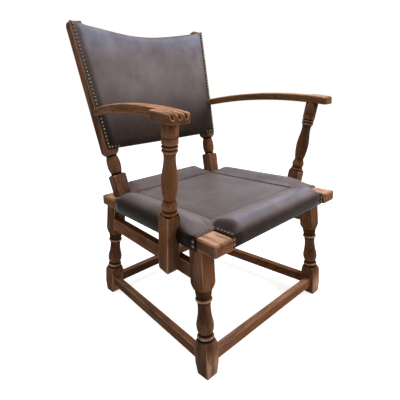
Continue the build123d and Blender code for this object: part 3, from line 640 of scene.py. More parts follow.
# A stick turned from a square: the turned form is spun, then its flats are planed off.
def turnedStick(settings, start, length, top, flats):
    points = outlinePoints(settings, start, length)
    below = turning["below"] * mm
    bm = bmesh.new()
    chain = [bm.verts.new((0.0, 0.0, below)), bm.verts.new((points[0][1] * mm, 0.0, below))]
    chain += [bm.verts.new((radius * mm, 0.0, height * mm)) for height, radius in points]
    if top > points[-1][0] + 1:
        chain.append(bm.verts.new((points[-1][1] * mm, 0.0, top * mm)))
    chain.append(bm.verts.new((0.0, 0.0, top * mm)))
    edges = [bm.edges.new(pair) for pair in zip(chain, chain[1:])]
    bmesh.ops.spin(
        bm, geom=chain + edges, cent=(0, 0, 0), axis=(0, 0, 1), angle=math.tau, steps=settings["steps"],
        use_merge=True, use_duplicate=False,
    )
    bmesh.ops.remove_doubles(bm, verts=bm.verts, dist=turning["merge"])
    bmesh.ops.recalc_face_normals(bm, faces=bm.faces)
    wearAndSheen = bm.loops.layers.float.new("wearAndSheen")
    grimeAndShade = bm.loops.layers.float.new("grimeAndShade")
    flat = bm.faces.layers.int.new("flat")
    for point, normal in flats:
        for face in planed(bm, Vector(point) * mm, normal):
            face[flat] = 1
            face.normal_update()
            if face.normal.dot(Vector(normal)) < 0:
                face.normal_flip()
    if "taper" in settings:
        tapered(bm, settings["taper"] * mm, settings["taperShare"])
    bm.normal_update()
    edges = [
        edge for edge in bm.edges
        if len(edge.link_faces) == 2
        and all(face[flat] for face in edge.link_faces)
        and edge.calc_face_angle(0) > math.radians(rub["sharp"])
        and edge.calc_length() > rub["shortest"] * mm
    ]
    worn = rounded(bm, edges, settings["arris"], 4)
    for face in bm.faces:
        turned = not face[flat] and face not in worn
        face.smooth = turned or face in worn
        for loop in face.loops:
            if face in worn:
                loop[wearAndSheen] = rub["arris"]
            elif turned:
                height = loop.vert.co.z / mm
                here = radiusAt(points, height)
                near = sum(radiusAt(points, height + shift) for shift in rub["shifts"]) / len(rub["shifts"])
                # Swells turn paler, partly rubbed and partly a painted sheen, and hollows darker with dirt
                # and painted shade.
                loop[wearAndSheen] = min(rub["most"], max(0.0, (here - near) * rub["swell"])) + rub["turned"]
                loop[grimeAndShade] = min(rub["darkest"], max(0.0, (near - here) * rub["hollow"] - rub["clean"]))
            else:
                loop[wearAndSheen] = rub["flat"]
    for edge in bm.edges:
        if len(edge.link_faces) == 2 and any(face[flat] for face in edge.link_faces):
            edge.smooth = False
    return bm


# Rounds the edge of a foot's sole.
def easedToe(bm):
    bm.normal_update()
    under = [face for face in bm.faces if face.normal.z < -0.99 and face.calc_area() > leg["leastSole"]]
    edges = {edge for face in under for edge in face.edges}
    wearAndSheen = bm.loops.layers.float["wearAndSheen"]
    for face in rounded(bm, list(edges), leg["toe"], 3, clamp=True):
        face.smooth = True
        for loop in face.loops:
            loop[wearAndSheen] = leg["toeWear"]


# Feet are scuffed pale, most of all in front.
def scuffed(bm):
    wearAndSheen = bm.loops.layers.float["wearAndSheen"]
    for face in bm.faces:
        share = leg["scuff"] * (leg["scuffAround"] + max(0.0, -face.normal.y))
        for loop in face.loops:
            low = 1 - smoothStep(loop.vert.co.z / mm, *leg["scuffHeights"])
            loop[wearAndSheen] = max(loop[wearAndSheen], share * low)


# A leg's axis meets the side rail's underside at its station, and its foot is where it meets the floor.
def makeLeg(name, inset, station, rake):
    top = seatPoint(inset - outerHalf(station), station, -seat["rail"])
    up = leaning(-leg["splay"], rake)
    foot = top - up * (top.z / up.z)
    height = (top - foot).length / mm
    length = height - leg["block"] - leg["head"]
    bm = turnedStick(leg, leg["block"], length, height + leg["over"], squareFlats(leg["square"] / 2))
    bmesh.ops.transform(bm, matrix=standing(foot, up, toRear), verts=bm.verts)
    planed(bm, seatPoint(0, 0, -seat["rail"]), seatUp)
    planed(bm, Vector((0, 0, 0)), Vector((0, 0, -1)))
    bmesh.ops.recalc_face_normals(bm, faces=bm.faces)
    scuffed(bm)
    easedToe(bm)
    finishPair(name, bm, oakUpright)


for name, settings in legs.items():
    makeLeg(name, **settings)


# An arm post stands square to the side rail and is housed over its outer face.
def makeArmPost():
    half, halfRail = armPost["square"] / 2, seat["rail"] / 2
    flats = squareFlats(half) + [((0, 0, 0), (0, 0, -1))]
    for x, y in ((1, 0), (-1, 0), (0, 1), (0, -1)):
        edge = half - armPost["footChamfer"]
        flats.append(((x * edge, y * edge, 0), Vector((x, y, -1)).normalized()))
    length = armPost["length"] - armPost["block"]
    bm = turnedStick(armPost, armPost["block"], length, armPost["length"], flats)
    sine, cosine = sineCosine(seat["angle"])
    middle = seatPoint(-outerHalf(armPost["station"]), armPost["station"], -halfRail)
    middle += Vector((-cosine, sine, 0.0)) * (half - armPost["housing"]) * mm
    up = leaning(armPost["splay"], -armPost["rake"])
    foot = middle - up * ((halfRail + armPost["hang"]) * mm / up.z)
    bmesh.ops.transform(bm, matrix=standing(foot, up, Vector((sine, cosine, 0.0))), verts=bm.verts)
    finishPair("arm_post", bm, oakUpright)


def makeBackPost():
    half = backPost["square"] / 2
    rear = backPost["thinDepth"] - half
    top, chamfer = backPost["length"], backPost["chamfer"]
    lean = Vector((0, top - chamfer - backPost["thinFrom"], half - rear)).normalized()
    flats = squareFlats(half) + [
        ((0, half, backPost["thinFrom"]), lean),
        ((0, 0, top), (0, 0, 1)),
        ((0, rear, top - chamfer), Vector((0, 1, 1)).normalized()),
    ]
    bm = turnedStick(backPost, backPost["block"], backPost["turned"], top + backPost["over"], flats)
    bmesh.ops.transform(bm, matrix=backPostTurn, verts=bm.verts)
    planed(bm, seatPoint(0, 0, 0), -seatUp)
    bmesh.ops.recalc_face_normals(bm, faces=bm.faces)
    finishPair("back_post", bm, oakUpright)


makeArmPost()
makeBackPost()
print("turned legs and posts are made")

# Material, rounding of the arrises, wear and painted top light on top.
rails = {
    "seat_rail_left": (oakAlong, 4.2, 0.9),
    "seat_rail_right": (oakAlong, 4.2, 0.9),
    "seat_rail_front": (oakAcross, 2.0, 0.05),
    "seat_rail_rear": (oakAcross, 2.0, 0.05),
    "stretcher_front": (oakAcross, 2.2, 0.7),
    "stretcher_rear": (oakAcross, 2.2, 0.25),
    "stretcher_left": (oakAlong, 2.2, 0.28),
    "stretcher_right": (oakAlong, 2.2, 0.28),
    "lower_rail_left": (oakAlong, 1.8, 0.05),
    "lower_rail_right": (oakAlong, 1.8, 0.05),
    "back_rail_top": (oakAcross, 1.6, 0.05),
    "back_rail_bottom": (oakAcross, 1.6, 0.05),
}
railRub = {
    "arris": 0.62, "everywhere": 0.06, "frontShare": 0.3, "level": 0.3, "sharp": 40.0, "leastFace": 0.0009,
}


def makeRail(node, material, arris, topWearAndLight):
    bm = nodeCopy(node)
    bmesh.ops.dissolve_limit(bm, angle_limit=math.radians(railRub["level"]), verts=bm.verts, edges=bm.edges)
    wearAndSheen = bm.loops.layers.float.new("wearAndSheen")
    edges = [
        edge for edge in bm.edges
        if len(edge.link_faces) == 2
        and all(face.calc_area() > railRub["leastFace"] for face in edge.link_faces)
        and edge.calc_face_angle_signed(0) > math.radians(railRub["sharp"])
    ]
    worn = rounded(bm, edges, arris, 4)
    for face in bm.faces:
        face.smooth = face in worn
        # Tops turn paler with wear and painted top light, and front faces a little with wear.
        facingUpAndFront = max(0.0, face.normal.z) + railRub["frontShare"] * max(0.0, -face.normal.y)
        rubbed = railRub["everywhere"] + topWearAndLight * facingUpAndFront
        for loop in face.loops:
            loop[wearAndSheen] = railRub["arris"] if face in worn else rubbed
    finishPiece(pieceName(node), bm, material, [node])


for node, settings in rails.items():
    makeRail(node, *settings)
print("rails are made")

# The arm is rubbed where it bends outward, paler on top with painted top light, and three grooves, darkened
# with painted shade, run over the rounded front of its hand.
# Back and down are how far the grooves reach over the hand's top and down its front.
arm = {
    "voxel": 1.3, "smoothing": 26, "bend": 6.0, "topWearAndLight": 0.62, "darkening": 1.6, "clean": 0.15,
    "hand": -316.0, "front": -252.0, "slant": 6.0, "width": 61.0, "top": 644.0, "back": 33.0, "down": 14.0,
    "pitch": 17.0, "groove": 2.9, "depth": 3.6, "backFade": (-1.0, 6.0), "downFade": (-2.0, 3.0),
    "facing": (0.1, 0.5), "grooveShade": 0.9, "darkestGroove": 0.72,
}


def remeshed(bm, voxel):
    work = meshObject("blank", bm)
    bm.free()
    mod = work.modifiers.new("voxels", "REMESH")
    mod.mode = "VOXEL"
    mod.voxel_size = voxel * mm
    result = bpy.data.meshes.new_from_object(work.evaluated_get(bpy.context.evaluated_depsgraph_get()))
    bpy.data.objects.remove(work)
    made = bmesh.new()
    made.from_mesh(result)
    bpy.data.meshes.remove(result)
    return made


def smoothed(bm, times):
    for _ in range(times):
        bmesh.ops.smooth_vert(
            bm, verts=bm.verts, factor=0.5, use_axis_x=True, use_axis_y=True, use_axis_z=True,
        )


# Rubbed on the swells, paler on top with painted top light, and darkened in the hollows with dirt and
# painted shade, from how the surface bends at each point.
def patinaAndLight(bm, settings):
    wearAndSheen = bm.verts.layers.float.new("wearAndSheen")
    grimeAndShade = bm.verts.layers.float["grimeAndShade"]
    bm.normal_update()
    for vert in bm.verts:
        away = [edge.other_vert(vert).co - vert.co for edge in vert.link_edges]
        bend = sum(step.dot(vert.normal) for step in away) / max(sum(step.length for step in away), 1e-9)
        bend *= settings["bend"]
        vert[wearAndSheen] = min(1.0, max(0.0, -bend) + settings["topWearAndLight"] * max(0.0, vert.normal.z) ** 2)
        vert[grimeAndShade] = max(vert[grimeAndShade], min(1.0, max(0.0, bend * settings["darkening"] - settings["clean"])))


def carveHand(bm):
    grimeAndShade = bm.verts.layers.float.new("grimeAndShade")
    bm.normal_update()
    moves = []
    for vert in bm.verts:
        x, y, z = (part / mm for part in vert.co)
        back = y - arm["front"] - arm["slant"] * (0.5 - (x - arm["hand"]) / arm["width"])
        down = arm["top"] - z
        if back > arm["back"] - arm["backFade"][0] or down > arm["down"] - arm["downFade"][0]:
            continue
        cut = 0.0
        for side in (-1, 0, 1):
            off = (x - arm["hand"] - side * arm["pitch"]) / arm["groove"]
            cut = max(cut, math.exp(-abs(off) ** 3))
        ends = smoothStep(arm["back"] - back, *arm["backFade"])
        ends *= smoothStep(arm["down"] - down, *arm["downFade"])
        facing = smoothStep(max(-vert.normal.y, vert.normal.z), *arm["facing"])
        moves.append((vert, cut * ends * facing))
    for vert, cut in moves:
        vert.co -= vert.normal * (cut * arm["depth"] * mm)
        # The grooves are darkened with painted shade.
        vert[grimeAndShade] = min(arm["darkestGroove"], cut * arm["grooveShade"])


def makeArm():
    bm = remeshed(nodeCopy("arm_left"), arm["voxel"])
    smoothed(bm, arm["smoothing"])
    carveHand(bm)
    smoothed(bm, 1)
    patinaAndLight(bm, arm)
    shadedSmooth(bm)
    finishPair("arm", bm, oakAlong)


makeArm()
print("arms are made")

# The hide's thickness and its settling. Frames, stiffness and pressure are the cloth simulation's own.
hide = {
    "thickness": 2.4, "pressure": 0.5, "stiff": 60.0, "bend": 40.0, "mass": 0.25, "quality": 6, "cap": 1.5,
    # The seam's darkening is painted shade, and the facing range fades the painted sheen.
    "frames": 14, "loose": 0.96, "seamShade": 0.5, "seamShare": 0.03, "overhang": 1.5, "facing": (0.42, 0.97),
}


# Settles a taut nailed or sewn skin over its stuffing: held edges stay, and no point moves past the cap.
def settled(bm, held):
    work = meshObject("settling", bm)
    group = work.vertex_groups.new(name="held")
    for index, share in enumerate(held):
        group.add([index], share, "REPLACE")
    skin = work.modifiers.new("skin", "CLOTH").settings
    skin.vertex_group_mass = "held"
    skin.use_pressure = True
    skin.uniform_pressure_force = hide["pressure"]
    skin.tension_stiffness = skin.compression_stiffness = skin.shear_stiffness = hide["stiff"]
    skin.bending_stiffness = hide["bend"]
    skin.effector_weights.gravity = 0.0
    skin.mass = hide["mass"]
    skin.quality = hide["quality"]
    for step in range(1, hide["frames"] + 1):
        scene.frame_set(step)
    result = work.evaluated_get(bpy.context.evaluated_depsgraph_get()).data
    for vert, place in zip(bm.verts, [item.co.copy() for item in result.vertices]):
        move = place - vert.co
        if move.length > hide["cap"] * mm:
            move *= hide["cap"] * mm / move.length
        vert.co += move
    mesh = work.data
    bpy.data.objects.remove(work)
    bpy.data.meshes.remove(mesh)
    scene.frame_set(1)


# A skin of leather: place gives each point, look its wear, its darkening, which is painted shade, and its
# painted sheen, and grip how firmly it is held.
# Its outer side faces outward, and its painted sheen fades as it turns away from the lit side.
def leatherSkin(settings, place, look, grip, outward, litSide=(0.0, -0.25, 0.97)):
    bm = bmesh.new()
    bmesh.ops.create_grid(bm, x_segments=settings["across"], y_segments=settings["along"], size=1.0)
    wearAndSheen = bm.verts.layers.float.new("wearAndSheen")
    grimeAndShade = bm.verts.layers.float.new("grimeAndShade")
    paintedSheen = bm.verts.layers.float.new("paintedSheen")
    held = []
    for vert in bm.verts:
        u, v = vert.co.x, vert.co.y * 0.5 + 0.5
        vert.co = place(u, v)
        vert[wearAndSheen], vert[grimeAndShade], vert[paintedSheen] = look(u, v)
        held.append(grip(u, v))
    bm.normal_update()
    if sum(face.normal.dot(Vector(outward)) * face.calc_area() for face in bm.faces) < 0:
        bmesh.ops.reverse_faces(bm, faces=bm.faces)
    settled(bm, held)
    bm.normal_update()
    for vert in bm.verts:
        # The painted sheen fades on faces turned away from the lit side.
        vert[paintedSheen] *= smoothStep(vert.normal.dot(Vector(litSide)), *hide["facing"])
    return bm


def finishSkin(name, bm, node):
    shadedSmooth(bm)
    for edge in bm.edges:
        edge.smooth = not edge.is_boundary
    piece = finishPiece(name, bm, leather, [node])
    skin = piece.modifiers.new("skin", "SOLIDIFY")
    skin.thickness = hide["thickness"] * mm
    skin.offset = -1.0


def edgeGrip(share, width):
    return 1.0 - hide["loose"] * smoothStep(share, 0.0, width)


# How far a point of a flat skin is from its nearest edge.
def edgeShare(u, v):
    return min(1 - abs(u), 2 * v, 2 * (1 - v))


def flatGrip(u, v):
    return edgeGrip(edgeShare(u, v), 0.05)


# The panel darkens at its edges with painted shade, and its last pair is a painted sheen from front to rear.
panel = {"across": 80, "along": 80, "under": 0.6, "darkening": 0.55, "darkeningShare": 0.035, "paintedSheen": (0.44, 0.68)}


def panelPlace(u, v):
    near, far = seat["panelFront"], seat["panelRear"]
    half = near[0] + (far[0] - near[0]) * v
    station = near[1] + (far[1] - near[1]) * v
    bowl = (1 - u * u) * (1 - (2 * v - 1) ** 2)
    return seatPoint(u * half, station, seat["seam"] - panel["under"] - seat["dish"] * bowl)


# Painted shade along the seams, and a painted sheen that grows towards the rear.
def panelLook(u, v):
    low, high = panel["paintedSheen"]
    darkening = panel["darkening"] * (1 - smoothStep(edgeShare(u, v), 0.0, panel["darkeningShare"]))
    return 0.0, darkening, low + (high - low) * v


finishSkin(
    "seat-panel-leather",
    leatherSkin(panel, panelPlace, panelLook, flatGrip, (0, 0, 1)),
    "seat_panel",
)


# Past the frame's edge a roll bulges out, down to its least share at the ends.
def tucked(depth, least, share):
    out = hide["overhang"]
    return -out + (depth + out) * (least + (1 - least) * share) if depth < -out else depth


# Painted shade darkens the seam, the hollow beside a corner and the hem, where the roll turns under; the
# roll's sheen is painted too.
def rollLook(roll, v, hollow):
    hem = roll["hemShade"] * smoothStep(v, *roll["hem"])
    seam = hide["seamShade"] * (1 - smoothStep(v, 0.0, hide["seamShare"]))
    return 0.0, min(1.0, roll["hollowShade"] * hollow + hem + seam), roll["paintedSheen"]


# A roll is held at its seam, along its hem and at its ends.
def rollGrip(v, near):
    return max(edgeGrip(v, 0.05), edgeGrip(1 - v, 0.12), edgeGrip(near / 100, 0.14))


# Sections of the rolls, from the seam over the crest and down to the hem: depth from the edge, and height.
frontRoll = {
    "section": (
        (86.0, 11.5), (72.0, 15.5), (52.0, 21.5), (32.0, 25.5), (14.0, 24.8), (0.0, 18.0), (-7.5, 6.0),
        (-9.5, -8.0), (-7.5, -21.0), (-3.5, -29.5), (3.0, -32.8), (12.0, -33.2),
    ),
    "across": 150, "along": 64, "shoulder": (8.0, 38.0), "narrowing": 24.0, "tuck": (4.0, 40.0),
    # Hem and hollow darkening are painted shade, and the sheen weight is painted light.
    "hem": (0.5, 0.8), "hemShade": 0.85, "hollowShade": 0.9, "paintedSheen": 0.9,
}


# The roll's end lies low in a wedge beside the mitre, which is darkened with painted shade, then rises in a
# firm shoulder.
def frontRollAt(u, v):
    depth, height = curveAt(frontRoll["section"], v)
    station = seat["frontSetback"] + depth
    share = max(0.0, (station - seat["notchLength"]) / (seat["panelFront"][1] - seat["notchLength"]))
    half = seat["notch"] + (seat["panelFront"][0] - seat["notch"]) * share
    near = half * (1 - abs(u))
    low, high = frontRoll["shoulder"]
    rise = smoothStep(near, low * (1 - share), high - frontRoll["narrowing"] * share)
    return depth, height, share, half, near, rise


def frontRollPlace(u, v):
    depth, height, share, half, near, rise = frontRollAt(u, v)
    base = seat["flat"] + (seat["seam"] + 0.5 - seat["flat"]) * share
    if height > base:
        height = base + (height - base) * rise
    depth = tucked(depth, 0.3, smoothStep(near, *frontRoll["tuck"]))
    return seatPoint(u * half, seat["frontSetback"] + depth, height)


def frontRollLook(u, v):
    rise = frontRollAt(u, v)[-1]
    hollow = (1 - rise) * smoothStep(v, 0.02, 0.12) * (1 - smoothStep(v, 0.5, 0.7))
    return rollLook(frontRoll, v, hollow)


def frontRollGrip(u, v):
    return rollGrip(v, seat["notch"] * (1 - abs(u)))


finishSkin(
    "seat-roll-front-leather",
    leatherSkin(frontRoll, frontRollPlace, frontRollLook, frontRollGrip, (0, -0.5, 1)),
    "seat_roll_front",
)

sideRoll = {
    "section": (
        (77.0, 11.5), (64.0, 15.5), (46.0, 21.5), (28.0, 25.8), (12.0, 23.0), (0.0, 14.5), (-7.0, 3.0),
        (-9.0, -8.5), (-7.5, -20.0), (-4.2, -29.5), (-1.0, -33.2), (8.0, -33.8),
    ),
    "across": 150, "along": 64, "run": 370.0, "shoulder": (0.0, 92.0), "rearShoulder": (0.0, 38.0),
    "mitreStart": 58.5, "skew": 8.0, "tuck": (2.0, 30.0), "rearTuck": (0.0, 26.0), "hollow": 6.0,
    # Hem and hollow darkening are painted shade, and the sheen weight is painted light.
    "hem": (0.36, 0.62), "hemShade": 0.95, "hollowShade": 0.3, "paintedSheen": 0.8,
}


# The side roll keeps to the mitred corners in front and behind, and rises slowly from the front one.
def sideRollPlace(u, v):
    depth, height = curveAt(sideRoll["section"], v)
    share = u * 0.5 + 0.5
    start, end = seat["notchLength"], seat["rearNotch"][1]
    seam = sideRoll["section"][0][0]
    mitre = max(0.0, (depth - sideRoll["mitreStart"]) / (seam - sideRoll["mitreStart"]))
    start += mitre * (seat["panelFront"][1] - seat["notchLength"])
    end -= max(0.0, mitre - 0.3) / 0.7 * (seat["rearNotch"][1] - seat["panelRear"][1])
    depth += mitre * sideRoll["skew"] * (1 - share)
    station = start + (end - start) * share
    near, far = station - start, end - station
    base = seat["flat"] + (seat["seam"] + 0.5 - seat["flat"]) * mitre
    if height > base:
        rise = smoothStep(near, *sideRoll["shoulder"]) ** 0.7
        rise += (1 - rise) * mitre * smoothStep(near, 0.0, 30.0)
        rise *= 0.3 + 0.7 * smoothStep(far, *sideRoll["rearShoulder"]) ** 0.8
        height = base + (height - base) * rise
    tuck = min(smoothStep(near, *sideRoll["tuck"]), smoothStep(far, *sideRoll["rearTuck"]))
    return seatPoint(tucked(depth, 0.3, tuck) - outerHalf(station), station, height)


def sideRollLook(u, v):
    near = sideRoll["run"] * (u * 0.5 + 0.5)
    hollow = math.exp(-((near / sideRoll["hollow"] - 1) ** 2)) * smoothStep(v, 0.1, 0.3)
    return rollLook(sideRoll, v, hollow)


def sideRollGrip(u, v):
    return rollGrip(v, sideRoll["run"] * (0.5 - abs(u) * 0.5))


def makeSideRolls():
    bm = leatherSkin(sideRoll, sideRollPlace, sideRollLook, sideRollGrip, (-0.5, 0, 1))
    twin = mirrored(bm)
    finishSkin("seat-roll-left-leather", bm, "seat_roll_left")
    finishSkin("seat-roll-right-leather", twin, "seat_roll_right")


makeSideRolls()

rearRoll = {
    "section": (
        (77.0, 11.5), (60.0, 18.5), (38.0, 27.0), (18.0, 29.8), (2.0, 25.0), (-9.0, 12.0), (-12.0, -2.0),
        (-8.5, -17.0), (-4.0, -27.0), (-1.0, -31.0), (8.0, -32.0),
    ),
    "across": 110, "along": 52, "shoulder": (0.0, 40.0), "tuck": (0.0, 34.0),
    # Hem darkening is painted shade, and the sheen weight is painted light.
    "hem": (0.7, 0.9), "hemShade": 0.6, "hollowShade": 0.0, "paintedSheen": 0.75,
}


def rearRollPlace(u, v):
    depth, height = curveAt(rearRoll["section"], v)
    (panelHalf, panelEnd), (notchHalf, notchStart) = seat["panelRear"], seat["rearNotch"]
    station = seat["rearEdge"] - depth
    share = min(1.0, max(0.0, (station - panelEnd) / (notchStart - panelEnd)))
    half = panelHalf + (notchHalf - panelHalf) * share
    near = half * (1 - abs(u))
    if height > seat["flat"]:
        rise = 0.35 + 0.65 * smoothStep(near, *rearRoll["shoulder"])
        height = seat["flat"] + (height - seat["flat"]) * rise
    depth = tucked(depth, 0.4, smoothStep(near, *rearRoll["tuck"]))
    return seatPoint(u * half, seat["rearEdge"] - depth, height)


def rearRollLook(u, v):
    return rollLook(rearRoll, v, 0.0)


def rearRollGrip(u, v):
    return rollGrip(v, seat["rearNotch"][0] * (1 - abs(u)))


finishSkin(
    "seat-roll-rear-leather",
    leatherSkin(rearRoll, rearRollPlace, rearRollLook, rearRollGrip, (0, 0.5, 1)),
    "seat_roll_rear",
)
print("seat leather is made")

# Seams: the rolls' cut edge lies on the panel, with a row of stitches beside it.
seams = {
    "edge": 1.5, "rise": 1.1, "lift": 0.7, "piece": 12.0, "mitreShare": 0.86, "wearAndSheen": 0.8, "sides": 6,
    "margin": 4.0, "step": 6.0, "stitch": 4.0, "thread": 1.1, "away": 3.6,
    "stitchShares": (-0.5, -0.2, 0.2, 0.5), "stitchRise": (0.2, 1.5, 1.5, 0.2),
}


# Four seams round the panel, then one along each front mitre: ends and heights.
def seamLines():
    (frontHalf, frontStation), (rearHalf, rearStation) = seat["panelFront"], seat["panelRear"]
    right = [(frontHalf, frontStation), (rearHalf, rearStation)]
    corners = right + [(-half, station) for half, station in reversed(right)]
    heights = (seat["seam"], seat["seam"])
    around = [(start, end, *heights) for start, end in zip(corners, corners[1:] + corners[:1])]
    mitres = []
    for side in (1, -1):
        near = (side * seat["notch"], seat["notchLength"])
        mitres.append(((side * frontHalf, frontStation), near, seat["seam"], seat["flat"]))
    return around, mitres


def linePoint(line, share, aside=0.0, lift=0.0):
    (x0, y0), (x1, y1), h0, h1 = line
    run = math.hypot(x1 - x0, y1 - y0)
    x = x0 + (x1 - x0) * share + (y1 - y0) / run * aside
    y = y0 + (y1 - y0) * share - (x1 - x0) / run * aside
    return seatPoint(x, y, h0 + (h1 - h0) * share + lift)


def lineLength(line):
    return (linePoint(line, 1.0) - linePoint(line, 0.0)).length / mm


# A thin strip along a row of points, as rings bridged into a tube.
def strip(bm, points, width, height):
    rings = []
    for index, point in enumerate(points):
        before, after = points[max(index - 1, 0)], points[min(index + 1, len(points) - 1)]
        ahead = (after - before).normalized()
        across = ahead.cross(seatUp).normalized()
        above = across.cross(ahead).normalized()
        turn = Matrix((across * width, above * height, ahead)).transposed().to_4x4()
        ring = bmesh.ops.create_circle(
            bm, cap_ends=index in (0, len(points) - 1), segments=seams["sides"], radius=0.5 * mm,
            matrix=Matrix.Translation(point) @ turn,
        )
        edges = {edge for vert in ring["verts"] for edge in vert.link_edges}
        if rings:
            bmesh.ops.bridge_loops(bm, edges=list(rings[-1] | edges))
        rings.append(edges)


def seamEdge(bm, line, reach):
    steps = max(4, int(lineLength(line) / seams["piece"]))
    points = [linePoint(line, reach * index / steps, lift=seams["lift"]) for index in range(steps + 1)]
    strip(bm, points, seams["edge"], seams["rise"])


def stitchRow(bm, line):
    length = lineLength(line)
    sewn = length - 2 * seams["margin"]
    count = int(sewn / seams["step"])
    for index in range(count):
        middle = seams["margin"] + (index + 0.5) * sewn / count
        row = []
        for part, rise in zip(seams["stitchShares"], seams["stitchRise"]):
            row.append(linePoint(line, (middle + part * seams["stitch"]) / length, seams["away"], rise))
        strip(bm, row, seams["thread"], seams["thread"])


def finishSeam(name, bm):
    bmesh.ops.recalc_face_normals(bm, faces=bm.faces)
    wearAndSheen = bm.verts.layers.float.new("wearAndSheen")
    for vert in bm.verts:
        vert[wearAndSheen] = seams["wearAndSheen"]
    shadedSmooth(bm)
    finishPiece(name, bm, leather, [])


def makeSeams():
    edges, threads = bmesh.new(), bmesh.new()
    around, mitres = seamLines()
    for line in around:
        seamEdge(edges, line, 1.0)
        stitchRow(threads, line)
    for line in mitres:
        seamEdge(edges, line, seams["mitreShare"])
    finishSeam("seat-seam-edges", edges)
    finishSeam("seat-stitches", threads)


makeSeams()
print("seams are sewn")

# The back's leather: heights run up the stiles' slope, depths towards the sitter from their fronts.
# Round and tuck are for its lower and its upper lap.
back = {
    "start": 149.0, "end": 537.0, "dip": 28.0, "hollow": 18.0, "hollowHalf": 206.0, "inset": 1.0,
    "stile": 40.2, "skin": 2.8, "pad": 7.0, "crown": 3.5, "lap": 0.07, "lapEdge": 1.5, "lapDrop": 1.2,
    "round": (9.0, 7.0), "tuck": (13.0, 14.0), "fall": 3.0, "across": 150, "along": 170, "pitch": 10.9,
    "pucker": 0.7, "nailRow": 13.0, "nailBand": 5.0, "middle": 350.0, "stileRise": (-1.0, 7.0),
    "padRise": (9.5, 24.0), "crownRise": (15.0, 120.0), "lowRise": (-2.0, 24.0), "highRise": (-2.0, 26.0),
    "turnShare": 2 / 3,
}


def backPoint(x, height, ahead):
    return backTurn @ Vector((x * mm, height * mm, ahead * mm))


# Half the leather's width at a height: the stiles' outer faces, which spread as they rise, less the inset.
def stileEdge(height):
    half = backPost["square"] / 2
    lean = backPostTurn.col[0].to_3d()
    flare = -backPostUp.x / backPostUp.dot(backUp)
    out = half * lean.x - backPostFoot.x / mm
    return out + (height + half * lean.dot(backUp)) * flare - back["inset"]


def hollowAt(x):
    return back["hollow"] * math.cos(min(1.0, abs(x) / back["hollowHalf"]) * math.pi / 2) ** 2


def topAt(x):
    dip, edge = back["dip"], stileEdge(back["end"])
    radius = (edge * edge + dip * dip) / (2 * dip)
    return back["end"] - (math.sqrt(max(0.0, radius * radius - x * x)) - (radius - dip))


# On the stiles the skin lies flat, between them it is padded and wraps round both rails. Each lap turns
# through a right angle, then runs down behind its rail.
def backFrontPlace(u, v):
    lap, low, rounds = back["lap"], back["start"], back["round"]
    main = min(1.0, max(0.0, (v - lap) / (1 - 2 * lap)))
    edge = stileEdge(low + (topAt(u * stileEdge(back["end"])) - low) * main)
    x = u * edge
    near, high = edge - abs(x), topAt(x)
    flatUp = low + back["lapEdge"] + (high - low - 2 * back["lapEdge"]) * main
    freeUp = low + rounds[0] + (high - low - rounds[0] - rounds[1]) * main
    flatAhead = freeAhead = back["skin"]
    swell = back["pad"] * smoothStep(near, *back["padRise"])
    swell += back["crown"] * smoothStep(near, *back["crownRise"])
    if v < lap or v > 1 - lap:
        end, sign, t = (0, -1, (lap - v) / lap) if v < lap else (1, 1, (v - 1 + lap) / lap)
        angle = min(1.0, t / back["turnShare"]) * math.pi / 2
        past = max(0.0, t - back["turnShare"]) / (1 - back["turnShare"])
        freeUp += sign * (rounds[end] * math.sin(angle) - back["fall"] * past)
        freeAhead -= rounds[end] * (1 - math.cos(angle)) + past * back["tuck"][end]
        flatUp += sign * back["lapEdge"] * t
        flatAhead -= back["lapDrop"] * t
        swell *= 1 - smoothStep(t, 0.0, 0.9)
    free = smoothStep(near - back["stile"], *back["stileRise"])
    up = flatUp + (freeUp - flatUp) * free
    ahead = flatAhead + (freeAhead - flatAhead) * free
    rounding = (smoothStep(up - low, *back["lowRise"]) * smoothStep(high - up, *back["highRise"])) ** 0.6
    ripple = math.cos(math.tau * up / back["pitch"])
    ripple *= math.exp(-(((near - back["nailRow"]) / back["nailBand"]) ** 2))
    ahead += (swell - back["pucker"] * ripple) * rounding - hollowAt(x)
    return backPoint(x, up, ahead)


def backFrontNear(u):
    return stileEdge(back["middle"]) * (1 - abs(u))


# Painted shade beside the stiles and towards the bottom, under the arms, and a painted sheen that grows
# towards the top.
def backFrontLook(u, v):
    edge = 1 - smoothStep(backFrontNear(u), 6.0, 34.0)
    low = 1 - smoothStep(v, 0.06, 0.62)
    paintedSheen = 0.84 * smoothStep(v, 0.08, 0.58) + 0.2 * smoothStep(v + 0.12 * abs(u), 0.76, 1.0)
    return 0.0, min(1.0, 0.3 * edge + 0.42 * low), paintedSheen * (1 - 0.2 * edge)


def backFrontGrip(u, v):
    return max(edgeGrip((backFrontNear(u) - 8) / 100, 0.12), edgeGrip(v, 0.1), edgeGrip(1 - v, 0.1))


finishSkin(
    "back-leather-front-skin",
    leatherSkin(back, backFrontPlace, backFrontLook, backFrontGrip, (0, -1, 0.2), (0.0, -0.97, 0.25)),
    "back_leather_front",
)

backRear = {
    "across": 70, "along": 80, "start": 165.0, "inset": 39.0, "below": 16.0, "away": 23.9, "crown": 2.0,
    "darkening": 0.4, "paintedSheen": 0.2,
}


def backRearPlace(u, v):
    half = stileEdge(back["end"]) - backRear["inset"]
    top = topAt(u * half) - backRear["below"]
    height = backRear["start"] + (top - backRear["start"]) * v
    x = u * (stileEdge(height) - backRear["inset"])
    swell = backRear["crown"] * (1 - u * u) * (1 - (2 * v - 1) ** 2)
    return backPoint(x, height, -hollowAt(x) - backRear["away"] - swell)


# Darker towards its edges, with a faint painted sheen.
def backRearLook(u, v):
    return 0.0, backRear["darkening"] * (1 - smoothStep(edgeShare(u, v), 0.0, 0.08)), backRear["paintedSheen"]


